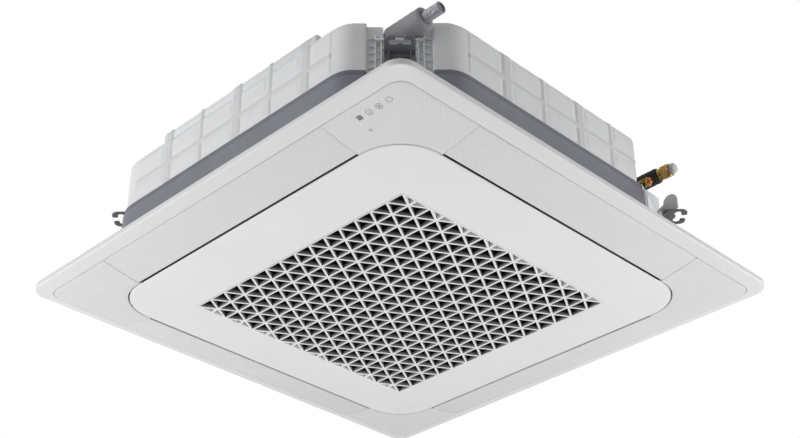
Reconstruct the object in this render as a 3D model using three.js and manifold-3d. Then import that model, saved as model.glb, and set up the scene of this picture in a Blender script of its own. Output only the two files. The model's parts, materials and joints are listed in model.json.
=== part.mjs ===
// Four-way ceiling cassette air conditioner: a square panel under the ceiling, with four air blades
// round a hinged intake door, and above it the body with fan, heat exchanger and drain parts.
// Millimetres, +Z up. The origin is the middle of the door's underside, the lowest point of the unit.
// +X is the side where the pipes leave. Side 0 faces -Y, and sides 1, 2 and 3 follow it round by
// quarter turns, facing +X, +Y and -X.
import * as THREE from 'three';
import { mergeVertices } from 'three/addons/utils/BufferGeometryUtils.js';
import Module from 'manifold-3d';

const wasm = await Module();
wasm.setup();

// ---------------------------------------------------------------- driving sizes

// Panel
const panelWidth = 950;
const panelDepth = 40; // from the door's underside to the ceiling
const panelCorner = 41; // radius of the panel's outer corners
const domeFlatHalf = 246; // the underside is flat out to here, then curves up
const domeRise = 23.138; // how far it has come up where the border begins
const rimWidth = 25.5; // plain border outside the blades and corner covers
const bandCorner = 26; // corner radius inside that border
const seam = 0.8; // gap between panel pieces that lie side by side
const plateThickness = 11.5; // flat plate of the panel frame, above blades and covers
const ledgeDrop = 0.5; // the plate lies this much lower inside the body than at the ceiling
const intakeInset = 35; // the opening above the door is this much smaller than the door, all round
const intakeCorner = 50;
const screwInset = 8; // from that opening's edge to the panel screws

// Blades
const bladeEndInset = 7.5; // a blade ends this far before the door's corner begins to curve
const bladeThickness = 4;
const bladePivotInset = 8; // from a blade's inner edge to its pivot
const bladePivotZ = 19;
const bladePinRadius = 2.25;
const slotEndInset = 16.5; // from a blade's end to the end of the panel's outlet slot above it
const slotInnerInset = 6.5; // from its inner edge to the slot's
const slotOuterInset = 13.1; // from its outer edge to the slot's

// Corner covers
const coverSkin = 2.2;
const coverWall = 2;
const coverDoorGap = 4;
const windowSize = 9; // remote receiver's window in the near cover
const windowFromEnd = 63; // from the front blade's end to the middle of the window
const windowFromRim = 22.5; // from the border to the middle of the window

// Door, lattice and filter
const doorWidth = 736;
const doorCorner = 82;
const doorSkin = 3;
const doorWall = 2.5;
const doorWallTop = 15;
const doorBladeGap = 5.5;
const cellColumns = 14;
const cellRows = 16;
const cellPitch = 37.2; // width of one triangle
const cellRowHeight = 31.9;
const latticeDepth = 12;
const latticeFlange = 3; // the lattice rests on a step this wide
const barFront = 2.4; // lattice bar width at the underside
const barBack = 9; // and at the top, where the cells are narrowest
const filterDepth = 5;
const surroundWall = 4;
const surroundTop = 18;
const hingeX = 200;
const hingeInset = 14; // from the door's edge to its hinge
const hingeFloor = 2; // door skin under the hinge lugs
const hingeLugGap = 0.8; // between that and the lugs
const hingePinRadius = 1.2;
const hingeLugRadius = 2.5;
const latchX = 200;
const latchInset = 22; // from the door's edge to its catches
const latchRadius = 4;

// Body
const bodyWidth = 840;
const bodyHeight = 204;
const bodyCornerRadial = 498.5; // from the middle to the cut-off corners
const pocketWidth = 104; // hanger pocket in each corner
const pocketRadial = 483.4; // from the middle to the pocket's back
const edgeRound = 42; // rounding where side and cut-off corner meet
const trayTop = 139;
const trayWall = 12;
const trayFloor = 12;
const lipHeight = 8;
const lipInset = 2;
const ductInset = 72; // from the body's side to the outside of the duct wall round the pan
const ductWall = 7;
const ductCorner = 90;
const ductWallTop = 86;
const outletInset = 2; // the tray's outlet slots keep this far from the walls beside them
const outletLength = 510;
const fanHoleMargin = 50; // the tray's fan hole is this much larger than the mouth's throat
const shellInset = 6; // the upper shell stands back from the tray by this much
const shellWall = 12;
const shellRib = 3; // the shell's ribs stand this proud
const topPlateThickness = 2;
const humpHeight = 15; // raised rail along side 0
const humpFrom = -185;
const humpTo = 222;
const humpDepth = 16;

// Pipe recess in the corner between +X and +Y
const recessInsetX = 90; // from the body's side to the recess wall the pipes come through
const recessY = 173;
const recessRise = 9; // from the tray's top to the recess floor
const recessWall = 8;

// Hangers
const hangerRise = 44; // from the tray's top to the underside of the flat plate
const hangerSheet = 2.5;
const hangerReach = 50.6; // from the pocket's back to the tip
const hangerWidth = 50;
const hangerDrop = 61;
const slotStart = 29.3; // from the pocket's back to the wide part of the slot
const slotDepth = 9.8;
const slotWide = 33;
const slotNeck = 14;

// Air path
const bellInset = 45; // the mouth's throat is this much smaller in radius than the fan
const bellFlare = 66; // and its flange this much larger than the throat
const bellSheet = 3;
const bellTop = 108;
const bellRise = 52.4;
const fanToCoil = 49;
const fanGap = 5;
const fanBackDrop = 28; // from the top plate down to the fan's back plate
const fanSheet = 3;
const fanBlades = 7;
const fanBladeThickness = 4;
const hubDepth = 64;
const shaftRadius = 6;
const motorRadius = 66;
const motorInHub = 22; // from the hub's bottom to the motor's
const motorFlangeRise = 14; // from the fan's back plate to the motor's flange
const motorFlangeRadius = 95;
const motorMountRadius = 9;
const motorMountCircle = 82;

// Coil and drain
const coilMargin = 14.7; // from the pan's wall to the coil
const coilCorner = 110;
const coilDepth = 34;
const coilTopDrop = 3; // from the top plate down to the coil
const coilToHeader = 14; // the coil stops short of the liquid header's middle on the +X side
const coilOpenX = 56; // and this far in from its own side on the +Y side
const panWall = 8;
const panTop = 82;
const panFloor = 7.4;
const pumpFromCoilX = 40; // the pump's middle is this far in from the coil's side
const pumpFromPanY = 0.7; // and this far in from the pan's
const pumpRadius = 20;
const drainDrop = 12; // from the top plate down to the drain pipe's middle
const drainRadius = 10.7;
const drainWall = 2.4;
const drainEnd = 432;
const sleeveRadius = 19;
const floatFromCoilX = 12;
const floatFromCoilY = 33;
const floatRadius = 11;
const floatBottom = 70.3;

// Refrigerant pipes: height, place and sizes of the larger gas pipe and the smaller liquid pipe
const gasPipe = { y: 230, z: 185, radius: 8, header: 11, sleeve: 14, sleeveEnd: 424, nut: 13.5, nutLength: 26, cap: 10.5, capLength: 14 };
const liquidPipe = { y: 202, z: 161, radius: 4.8, header: 7, sleeve: 9.5, sleeveEnd: 401, nut: 9, nutLength: 20, cap: 6.5, capLength: 8 };

// Clearances
const gap = 0.3; // between pieces that touch
const pinClearance = 0.25; // round a turning or fixed pin

// A quarter-turn arc of an outline is drawn with twice this many straight pieces.
const arcSteps = 3;

// ---------------------------------------------------------------- values worked out from them

const panelHalf = panelWidth / 2;
const bandHalf = panelHalf - rimWidth;
const doorHalf = doorWidth / 2;
const bodyHalf = bodyWidth / 2;
const plateBottom = panelDepth - ledgeDrop - plateThickness;
const intakeHalf = doorHalf - intakeInset;
const screwPlace = intakeHalf - screwInset;
const bladeInner = doorHalf + doorBladeGap;
const bladeOuter = bandHalf - seam / 2;
const bladePivot = bladeInner + bladePivotInset;
const bladeEnd = doorHalf - doorCorner - bladeEndInset;
const slotLength = 2 * (bladeEnd - slotEndInset);
const slotInner = bladeInner + slotInnerInset;
const slotOuter = bladeOuter - slotOuterInset;
const coverStart = bladeEnd + seam;
const lugStart = coverStart + 1.2;
const lugEnd = lugStart + 7.5;
const bladeMotorStart = lugEnd + gap;
const windowX = bladeEnd + windowFromEnd;
const windowY = -(bandHalf - windowFromRim);
const hingeY = doorHalf - hingeInset;
const latchY = -(doorHalf - latchInset);
const latticeHalfX = (cellColumns * cellPitch) / 2;
const latticeHalfY = (cellRows * cellRowHeight) / 2;
const trayBottom = panelDepth + gap;
const floorTop = trayBottom + trayFloor;
const shellBottom = trayTop + gap;
const shellHalf = bodyHalf - shellInset;
const shellTop = panelDepth + bodyHeight - topPlateThickness - gap;
const plateZ = shellTop + gap;
const topZ = plateZ + topPlateThickness;
const panBottom = floorTop + gap;
const ductInner = bodyHalf - ductInset;
const outletInner = ductInner + outletInset;
const outletOuter = bodyHalf - trayWall - outletInset;
const panHalf = ductInner - ductWall - gap;
const coilHalf = panHalf - panWall - coilMargin;
const coilBottom = panBottom + panFloor + gap;
const coilTop = plateZ - coilTopDrop;
const fanRadius = coilHalf - coilDepth - fanToCoil;
const fanBack = plateZ - fanBackDrop;
const hubBottom = fanBack - hubDepth;
const motorBottom = hubBottom + motorInHub;
const motorFlangeZ = fanBack + motorFlangeRise;
const bellThroat = fanRadius - bellInset;
const bellFlange = bellThroat + bellFlare;
const fanHoleRadius = bellThroat + fanHoleMargin;
const headerX = coilHalf - coilDepth / 2;
const recessX = bodyHalf - recessInsetX;
const recessFloor = trayTop + recessRise;
const hangerZ = trayTop + hangerRise;
const pumpX = coilHalf - pumpFromCoilX;
const pumpY = -(panHalf - pumpFromPanY);
const drainZ = plateZ - drainDrop;
const floatX = coilHalf - floatFromCoilX;
const floatY = -(coilHalf - floatFromCoilY);
const quarter = Math.PI / 2;
const root2 = Math.SQRT2;

// Height of the panel's underside at a distance from the middle, measured square to the nearest side.
function domeHeight(half) {
  if (half <= domeFlatHalf) return 0;
  return domeRise * ((half - domeFlatHalf) / (bandHalf - domeFlatHalf)) ** 2;
}

const hingeZ = domeHeight(hingeY) + hingeFloor + hingeLugGap + hingeLugRadius;

// ---------------------------------------------------------------- solids from three.js geometry

function solidOf(geometry) {
  const bare = geometry.clone();
  bare.deleteAttribute('normal');
  bare.deleteAttribute('uv');
  const merged = mergeVertices(bare, 1e-4);
  return new wasm.Manifold(new wasm.Mesh({
    numProp: 3,
    vertProperties: merged.getAttribute('position').array,
    triVerts: new Uint32Array(merged.index.array),
  }));
}

function geometryOf(solid) {
  const mesh = solid.getMesh();
  const geometry = new THREE.BufferGeometry();
  geometry.setAttribute('position', new THREE.BufferAttribute(new Float32Array(mesh.vertProperties), 3));
  geometry.setIndex(new THREE.BufferAttribute(new Uint32Array(mesh.triVerts), 1));
  const flat = geometry.toNonIndexed();
  flat.computeVertexNormals();
  return flat;
}

const join = (first, ...rest) => rest.reduce((sum, next) => sum.add(next), first);
const cut = (first, ...rest) => rest.reduce((sum, next) => sum.subtract(next), first);

function boxGeometry([x0, x1], [y0, y1], [z0, z1]) {
  const geometry = new THREE.BoxGeometry(x1 - x0, y1 - y0, z1 - z0);
  return geometry.translate((x0 + x1) / 2, (y0 + y1) / 2, (z0 + z1) / 2);
}

const box = (x, y, z) => solidOf(boxGeometry(x, y, z));

// An upright slab of the shape between two heights.
function slabGeometry(shape, z0, z1, curveSegments = arcSteps) {
  const geometry = new THREE.ExtrudeGeometry(shape, { depth: z1 - z0, bevelEnabled: false, curveSegments });
  return geometry.translate(0, 0, z0);
}

const slab = (shape, z0, z1, curveSegments) => solidOf(slabGeometry(shape, z0, z1, curveSegments));

// A rod along X, Y or Z.
function rodGeometry(axis, radius, from, to, [a, b], sides = 12) {
  const geometry = new THREE.CylinderGeometry(radius, radius, to - from, sides);
  const middle = (from + to) / 2;
  if (axis === 'x') return geometry.rotateZ(-quarter).translate(middle, a, b);
  if (axis === 'y') return geometry.translate(a, middle, b);
  return geometry.rotateX(quarter).translate(a, b, middle);
}

const rod = (...sizes) => solidOf(rodGeometry(...sizes));

// A turned solid about Z from [radius, height] points, which run anticlockwise as seen in the r-z plane.
function turned(points, segments = 32) {
  const profile = points.map(([r, z]) => new THREE.Vector2(r, z));
  if (points[0][0] > 0) profile.push(profile[0].clone());
  return solidOf(new THREE.LatheGeometry(profile, segments).rotateX(quarter));
}

function roundedSquare(half, radius) {
  const shape = new THREE.Shape();
  const inner = half - radius;
  shape.absarc(inner, -inner, radius, -quarter, 0);
  shape.absarc(inner, inner, radius, 0, quarter);
  shape.absarc(-inner, inner, radius, quarter, 2 * quarter);
  shape.absarc(-inner, -inner, radius, 2 * quarter, 3 * quarter);
  shape.closePath();
  return shape;
}

function rectangle(x0, x1, y0, y1) {
  return new THREE.Shape([[x0, y0], [x1, y0], [x1, y1], [x0, y1]].map(([x, y]) => new THREE.Vector2(x, y)));
}

function circlePath(radius, sides = 36) {
  const points = Array.from({ length: sides }, (_, i) => {
    const angle = (-i / sides) * 4 * quarter;
    return new THREE.Vector2(radius * Math.cos(angle), radius * Math.sin(angle));
  });
  return new THREE.Path(points);
}

// Four copies, one on each side, of what a function makes for side 0.
function onEachSide(makeGeometry) {
  return [0, 1, 2, 3].map((side) => solidOf(makeGeometry().rotateZ(side * quarter)));
}

// ---------------------------------------------------------------- the panel's curved underside

// Corner radius of the outline at a distance from the middle.
function cornerAt(half) {
  const known = [[domeFlatHalf, 30], [doorHalf, doorCorner], [bandHalf, bandCorner], [panelHalf, panelCorner]];
  const last = known.length - 1;
  for (let i = 0; i < last; i += 1) {
    const [h0, r0] = known[i];
    const [h1, r1] = known[i + 1];
    if (half <= h1 || i === last - 1) return r0 + ((half - h0) / (h1 - h0)) * (r1 - r0);
  }
  return panelCorner;
}

// Everything above the panel's underside, moved up by a skin's thickness.
function above(lift) {
  const doorShare = (share) => domeFlatHalf + share * (doorHalf - domeFlatHalf);
  const bandShare = (share) => doorHalf + share * (bandHalf - doorHalf);
  const halves = [
    domeFlatHalf, doorShare(0.36), doorShare(0.69), doorHalf, bandShare(0.32), bandShare(0.64), bandHalf, panelHalf + 5,
  ];
  const rings = halves.map((half) => {
    const points = roundedSquare(half, cornerAt(half)).extractPoints(arcSteps).shape;
    return points.map((p) => new THREE.Vector3(p.x, p.y, domeHeight(half) + lift));
  });
  const outer = rings[rings.length - 1];
  rings.push(outer.map((p) => new THREE.Vector3(p.x, p.y, panelDepth + 20)));
  const count = outer.length;
  const positions = [];
  const triangle = (a, b, c) => positions.push(...a.toArray(), ...b.toArray(), ...c.toArray());
  for (let ring = 0; ring + 1 < rings.length; ring += 1) {
    for (let i = 0; i < count; i += 1) {
      const j = (i + 1) % count;
      triangle(rings[ring][i], rings[ring + 1][i], rings[ring + 1][j]);
      triangle(rings[ring][i], rings[ring + 1][j], rings[ring][j]);
    }
  }
  const low = new THREE.Vector3(0, 0, lift);
  const high = new THREE.Vector3(0, 0, panelDepth + 20);
  const top = rings[rings.length - 1];
  for (let i = 0; i < count; i += 1) {
    const j = (i + 1) % count;
    triangle(low, rings[0][i], rings[0][j]);
    triangle(high, top[j], top[i]);
  }
  const geometry = new THREE.BufferGeometry();
  geometry.setAttribute('position', new THREE.Float32BufferAttribute(positions, 3));
  const made = solidOf(geometry);
  return made.volume() < 0 ? solidOf(geometry.scale(-1, 1, 1)) : made;
}

const underside = above(0);

// ---------------------------------------------------------------- panel pieces

const screwRadius = 3;
const screwHole = screwRadius + 0.4;

function makePanelFrame() {
  const pocketTop = panelDepth + 1;
  const lugWidth = 6;
  const lugs = (end) => {
    const x = end > 0 ? [lugStart, lugEnd] : [-lugEnd, -lugStart];
    return boxGeometry(x, [-bladePivot - lugWidth, -bladePivot + lugWidth - 1], [bladePivotZ - 4.8, plateBottom + 2]);
  };
  let frame = slab(roundedSquare(panelHalf, panelCorner), 0, panelDepth).intersect(underside);
  frame = cut(
    frame,
    slab(roundedSquare(bandHalf + seam / 2, bandCorner + seam / 2), -1, plateBottom),
    slab(roundedSquare(intakeHalf, intakeCorner), -1, pocketTop),
    slab(roundedSquare(bodyHalf + 8, 60), panelDepth - ledgeDrop, pocketTop),
    ...onEachSide(() => boxGeometry([-slotLength / 2, slotLength / 2], [-slotOuter, -slotInner], [plateBottom - 1, pocketTop])),
    ...onEachSide(() => boxGeometry([lugEnd, lugEnd + 18], [-bladePivot - 18, -bladePivot + 7], [plateBottom - 1, pocketTop])),
    ...onEachSide(() => rodGeometry('z', screwHole, plateBottom - 1, pocketTop, [screwPlace, -screwPlace])),
    rod('z', latchRadius + 2, plateBottom - 1, pocketTop, [latchX, latchY]),
    rod('z', latchRadius + 2, plateBottom - 1, pocketTop, [-latchX, latchY]),
  );
  const hingeLug = (x) => join(
    box([x - 4, x + 4], [hingeY - hingeLugRadius, hingeY + hingeLugRadius], [hingeZ, plateBottom + 2]),
    rod('x', hingeLugRadius, x - 4, x + 4, [hingeY, hingeZ]),
  );
  frame = join(frame, ...onEachSide(() => lugs(1)), ...onEachSide(() => lugs(-1)), hingeLug(hingeX), hingeLug(-hingeX));
  const pinHole = bladePinRadius + pinClearance;
  return cut(
    frame,
    ...onEachSide(() => rodGeometry('x', pinHole, lugStart - 1, lugEnd + 1, [-bladePivot, bladePivotZ])),
    ...onEachSide(() => rodGeometry('x', pinHole, -lugEnd - 1, -lugStart + 1, [-bladePivot, bladePivotZ])),
    rod('x', hingePinRadius + pinClearance, -hingeX - 6, hingeX + 6, [hingeY, hingeZ]),
  );
}

// The blade of side 0, with a pin at each end. The longer pin is driven by the blade's motor.
function makeBlade() {
  const outline = box([-bladeEnd, bladeEnd], [-bladeOuter, -bladeInner], [-1, panelDepth]);
  const skin = cut(outline.intersect(underside), above(bladeThickness));
  const bossLength = 12;
  const boss = (from, to) => join(
    box([from, to], [-bladePivot - 4.5, -bladePivot + 4.5], [domeHeight(bladePivot) + 2, bladePivotZ]),
    rod('x', 4.5, from, to, [-bladePivot, bladePivotZ]),
  );
  const stiffenerY = (bladeInner + bladeOuter) / 2;
  const stiffenerBottom = domeHeight(stiffenerY) + 1.5;
  const stiffener = box(
    [-slotLength / 2, slotLength / 2],
    [-stiffenerY - 1.5, -stiffenerY + 1.5],
    [stiffenerBottom, stiffenerBottom + 9],
  );
  return join(
    skin,
    boss(bladeEnd - bossLength, bladeEnd),
    boss(-bladeEnd, -bladeEnd + bossLength),
    stiffener,
    rod('x', bladePinRadius, bladeEnd - bossLength, bladeMotorStart + 5.5, [-bladePivot, bladePivotZ]),
    rod('x', bladePinRadius, -lugEnd + gap, -bladeEnd + bossLength, [-bladePivot, bladePivotZ]),
  );
}

// Stepper motor that turns a blade. Its shaft lies off the middle of its case.
function makeBladeMotor() {
  const caseRadius = 10;
  const caseLength = 15.5;
  const caseY = -bladePivot - 3.5;
  const caseZ = bladePivotZ + 7.5;
  const start = bladeMotorStart;
  const ears = box([start, start + 1.6], [caseY - 13, caseY + 9], [caseZ - 1.5, caseZ + 3.5]);
  const body = join(
    rod('x', caseRadius, start, start + caseLength, [caseY, caseZ], 16),
    rod('x', 4.5, start, start + 9.5, [-bladePivot, bladePivotZ]),
    ears,
  );
  return cut(body, rod('x', bladePinRadius + pinClearance, start - 1, start + 6, [-bladePivot, bladePivotZ]));
}

// Outline of the corner cover at +X, -Y. Moved in by a wall, and open past the blade ends, it is the
// outline of the hollow inside it.
function coverOutline(wall, start) {
  const outer = bandHalf - seam / 2 - wall;
  const radius = bandCorner - seam / 2 - wall;
  const doorEdge = doorHalf + coverDoorGap + wall;
  const middle = doorHalf - doorCorner;
  const shape = new THREE.Shape();
  shape.moveTo(start, -outer);
  shape.lineTo(outer - radius, -outer);
  shape.absarc(outer - radius, -outer + radius, radius, -quarter, 0);
  shape.lineTo(outer, -start);
  shape.lineTo(doorEdge, -start);
  shape.absarc(middle, -middle, doorEdge - middle, 0, -quarter, true);
  shape.lineTo(start, -doorEdge);
  shape.closePath();
  return shape;
}

function makeCornerCover(withWindow) {
  const body = slab(coverOutline(0, coverStart), -1, plateBottom - gap).intersect(underside);
  const hollow = slab(coverOutline(coverWall, coverStart - 9), -1, panelDepth).intersect(above(coverSkin));
  const cover = cut(body, hollow);
  if (!withWindow) return cover;
  const half = windowSize / 2 + gap;
  return cut(cover, box([windowX - half, windowX + half], [windowY - half, windowY + half], [-1, plateBottom + 1]));
}

function makeReceiverWindow() {
  const half = windowSize / 2;
  const block = box([windowX - half, windowX + half], [windowY - half, windowY + half], [-1, panelDepth]);
  return cut(block.intersect(underside), above(coverSkin + 1));
}

function makeGrilleDoor() {
  const stepHalfX = latticeHalfX + latticeFlange + gap;
  const stepHalfY = latticeHalfY + latticeFlange + gap;
  const outerX = stepHalfX + surroundWall;
  const outerY = stepHalfY + surroundWall;
  const body = slab(roundedSquare(doorHalf, doorCorner), -1, doorWallTop).intersect(underside);
  const inner = roundedSquare(doorHalf - doorWall, doorCorner - doorWall);
  let door = cut(body, slab(inner, -1, panelDepth).intersect(above(doorSkin)));
  const guideRadius = latchRadius + 4;
  const guideBottom = domeHeight(-latchY) + 1;
  const knuckle = (x) => box([x - 12, x + 12], [hingeY - 4.5, hingeY + 4.5], [hingeZ - 4, hingeZ + 4.4]);
  door = join(
    door,
    slab(rectangle(-outerX, outerX, -outerY, outerY), 0.5, surroundTop),
    knuckle(hingeX),
    knuckle(-hingeX),
    rod('z', guideRadius, guideBottom, 19, [latchX, latchY]),
    rod('z', guideRadius, guideBottom, 19, [-latchX, latchY]),
  );
  const lugRoom = (x) => cut(
    box([x - 5.5, x + 5.5], [hingeY - 8, doorHalf + 1], [-1, surroundTop + 2]),
    cut(box([x - 7, x + 7], [hingeY - 9, doorHalf + 2], [-2, panelDepth]), above(hingeFloor)),
  );
  return cut(
    door,
    box([-latticeHalfX - gap, latticeHalfX + gap], [-latticeHalfY - gap, latticeHalfY + gap], [-1, surroundTop + 1]),
    box([-stepHalfX, stepHalfX], [-stepHalfY, stepHalfY], [doorSkin, surroundTop + 1]),
    lugRoom(hingeX),
    lugRoom(-hingeX),
    rod('x', hingePinRadius + gap, -hingeX - 12 + 1.5, -hingeX + 13, [hingeY, hingeZ]),
    rod('x', hingePinRadius + gap, hingeX - 13, hingeX + 12 - 1.5, [hingeY, hingeZ]),
    rod('z', latchRadius + gap, 10.5, 23, [latchX, latchY]),
    rod('z', latchRadius + gap, 10.5, 23, [-latchX, latchY]),
  );
}

// One cell's cutter: a triangle that is wide at the underside and narrow at the top. Corners are given
// anticlockwise, and each edge moves in by half a bar.
function cellCutter(corners, sides) {
  const level = (barWidth, z) => {
    const edges = corners.map((corner, i) => {
      const next = corners[(i + 1) % 3];
      const along = next.clone().sub(corner).normalize();
      const move = sides[i] ? barWidth / 2 : 0.8;
      return { at: corner.clone().add(new THREE.Vector2(-along.y, along.x).multiplyScalar(move)), along };
    });
    return edges.map((edge, i) => {
      const before = edges[(i + 2) % 3];
      const cross = before.along.cross(edge.along);
      const t = edge.at.clone().sub(before.at).cross(edge.along) / cross;
      const point = before.at.clone().addScaledVector(before.along, t);
      return [point.x, point.y, z];
    });
  };
  const overshoot = 1;
  const slope = (barBack - barFront) / latticeDepth;
  const low = level(barFront - slope * overshoot, -overshoot);
  const high = level(barBack + slope * overshoot, latticeDepth + overshoot);
  const positions = [low[0], low[2], low[1], high[0], high[1], high[2]];
  for (let i = 0; i < 3; i += 1) {
    const j = (i + 1) % 3;
    positions.push(low[i], low[j], high[j], low[i], high[j], high[i]);
  }
  return positions.flat();
}

// Triangular lattice: rows of alternating triangles, half of them cut off at the row ends.
function makeLattice() {
  const flangeX = latticeHalfX + latticeFlange;
  const flangeY = latticeHalfY + latticeFlange;
  const plate = join(
    box([-latticeHalfX, latticeHalfX], [-latticeHalfY, latticeHalfY], [0, doorSkin + 1]),
    box([-flangeX, flangeX], [-flangeY, flangeY], [doorSkin + gap, latticeDepth]),
  );
  const positions = [];
  const corner = (x, y) => new THREE.Vector2(x, y);
  for (let row = 0; row < cellRows; row += 1) {
    const y0 = -latticeHalfY + row * cellRowHeight;
    const y1 = y0 + cellRowHeight;
    const shift = row % 2 ? cellPitch / 2 : 0;
    for (let step = -1; step <= cellColumns; step += 1) {
      const x0 = -latticeHalfX + step * cellPitch + shift;
      const middle = x0 + cellPitch / 2;
      const x1 = x0 + cellPitch;
      const inside = (from, to) => from > -latticeHalfX - 1 && to < latticeHalfX + 1;
      if (inside(x0, x1)) positions.push(...cellCutter([corner(x0, y0), corner(x1, y0), corner(middle, y1)], [1, 1, 1]));
      if (inside(middle, middle + cellPitch)) {
        positions.push(...cellCutter([corner(x1, y0), corner(middle + cellPitch, y1), corner(middle, y1)], [1, 1, 1]));
      }
    }
    const ends = [[-latticeHalfX, 1], [latticeHalfX, -1]];
    for (const [x, inward] of ends) {
      const base = row % 2 ? y0 : y1;
      const tip = row % 2 ? y1 : y0;
      const half = [corner(x, base), corner(x + (inward * cellPitch) / 2, base), corner(x, tip)];
      if (THREE.ShapeUtils.area(half) < 0) half.reverse();
      positions.push(...cellCutter(half, [1, 1, 1]));
    }
  }
  const geometry = new THREE.BufferGeometry();
  geometry.setAttribute('position', new THREE.Float32BufferAttribute(positions, 3));
  return cut(plate, solidOf(geometry));
}

function makeAirFilter() {
  const halfX = latticeHalfX + latticeFlange;
  const halfY = latticeHalfY + latticeFlange;
  const bottom = latticeDepth + gap;
  const border = 10;
  const sheet = 0.8;
  const bars = 3;
  const frame = box([-halfX, halfX], [-halfY, halfY], [bottom, bottom + filterDepth]);
  const windows = [];
  const widthX = (2 * (halfX - border)) / bars;
  const widthY = (2 * (halfY - border)) / bars;
  for (let i = 0; i < bars; i += 1) {
    for (let j = 0; j < bars; j += 1) {
      const x0 = -halfX + border + i * widthX;
      const y0 = -halfY + border + j * widthY;
      windows.push(box([x0 + 2, x0 + widthX - 2], [y0 + 2, y0 + widthY - 2], [bottom + sheet, bottom + filterDepth + 1]));
    }
  }
  return cut(frame, ...windows);
}

function makeLatch() {
  return join(
    rod('z', latchRadius, 14, 33, [latchX, latchY]),
    rod('z', latchRadius + 2, 22.6, 24.6, [latchX, latchY]),
  );
}

const controlBox = {
  x: [-intakeHalf + 3, -intakeHalf + 61],
  y: [-150, 150],
  bottom: surroundTop + 2.8,
  wall: 2,
};

function makeControlBox() {
  const { x, y, bottom, wall } = controlBox;
  const top = panBottom - gap;
  return cut(
    box(x, y, [bottom, top]),
    box([x[0] + wall, x[1] - wall], [y[0] + wall, y[1] - wall], [bottom - 1, top - wall]),
    rod('x', 7, x[1] - wall - 1, x[1] + 1, [110, 32]),
  );
}

function makeControlBoxCover() {
  const { x, y, bottom, wall } = controlBox;
  return join(
    box(x, y, [bottom - gap - 1.5, bottom - gap]),
    box([x[0] + wall + gap, x[1] - wall - gap], [y[0] + wall + gap, y[1] - wall - gap], [bottom - gap - 0.5, bottom + 2]),
  );
}

function makePanelScrew() {
  return join(
    rod('z', 7, plateBottom - gap - 4, plateBottom - gap, [0, 0]),
    rod('z', screwRadius, plateBottom - gap - 1, floorTop - 1, [0, 0], 8),
  );
}

// ---------------------------------------------------------------- body pieces

// The body's outline: a square with cut-off corners, their edges rounded, and perhaps a pocket in each.
function bodyOutline(half, cornerRadial, round, pocket) {
  const cutOff = 2 * half - cornerRadial * root2;
  const points = [];
  for (let side = 0; side < 4; side += 1) {
    const centre = new THREE.Vector2();
    const turn = (x, y) => new THREE.Vector2(x, y).rotateAround(centre, side * quarter);
    const start = turn(half - cutOff, -half);
    const end = turn(half, -half + cutOff);
    const along = end.clone().sub(start).normalize();
    const before = turn(half - cutOff - round, -half);
    const after = turn(half, -half + cutOff + round);
    const onto = (a, b, t) => a.clone().lerp(b, t);
    const bend = (a, b, c) => [0, 0.25, 0.5, 0.75, 1].map((t) => onto(onto(a, b, t), onto(b, c, t), t));
    const afterStart = start.clone().addScaledVector(along, round * 0.6);
    const beforeEnd = end.clone().addScaledVector(along, -round * 0.6);
    if (round > 0) points.push(...bend(before, start, afterStart));
    else points.push(start);
    if (pocket) {
      const middle = onto(start, end, 0.5);
      const inward = new THREE.Vector2(-along.y, along.x).multiplyScalar(cornerRadial - pocketRadial);
      const first = middle.clone().addScaledVector(along, -pocketWidth / 2);
      const second = middle.clone().addScaledVector(along, pocketWidth / 2);
      points.push(first, first.clone().add(inward), second.clone().add(inward), second);
    }
    if (round > 0) points.push(...bend(beforeEnd, end, after));
    else points.push(end);
  }
  return new THREE.Shape(points);
}

function makeBaseTray() {
  const hollow = bodyOutline(bodyHalf - trayWall, pocketRadial - trayWall + 2, 0, false);
  const outline = bodyOutline(bodyHalf, bodyCornerRadial, edgeRound, true);
  const lipOutline = bodyOutline(bodyHalf - lipInset, bodyCornerRadial - lipInset, edgeRound, true);
  const { x, y } = controlBox;
  let tray = join(
    slab(outline, trayBottom, trayTop - lipHeight),
    slab(lipOutline, trayTop - lipHeight - 1, trayTop),
  );
  tray = cut(tray, slab(hollow, floorTop, trayTop + 1));
  const ductRing = roundedSquare(ductInner, ductCorner);
  ductRing.holes.push(new THREE.Path(roundedSquare(ductInner - ductWall, ductCorner - ductWall).getPoints(arcSteps)));
  tray = join(tray, slab(ductRing, floorTop - 1, ductWallTop));
  return cut(
    tray,
    rod('z', fanHoleRadius, trayBottom - 1, floorTop + 1, [0, 0], 32),
    ...onEachSide(() => boxGeometry([-outletLength / 2, outletLength / 2], [-outletOuter, -outletInner], [trayBottom - 1, floorTop + 1])),
    ...onEachSide(() => rodGeometry('z', screwHole, trayBottom - 1, floorTop + 1, [screwPlace, -screwPlace], 8)),
    box([x[0] - gap, x[1] + gap], [y[0] - gap, y[1] + gap], [trayBottom - 1, floorTop + 1]),
  );
}

// Ribs of the shell along side 0: upright ones at the given places and one level one.
function ribGeometries(places, from, to) {
  const face = -shellHalf - shellRib;
  const upright = places.map(([middle, width]) => boxGeometry(
    [middle - width / 2, middle + width / 2],
    [face, -shellHalf + 1],
    [shellBottom + 1, shellTop - 3],
  ));
  const levelRib = boxGeometry([from, to], [face, -shellHalf + 1], [186, 194]);
  return [...upright, levelRib];
}

const ribPlaces = [[-166, 22], [-74, 8], [23, 22], [108, 8], [196, 22]];

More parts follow.
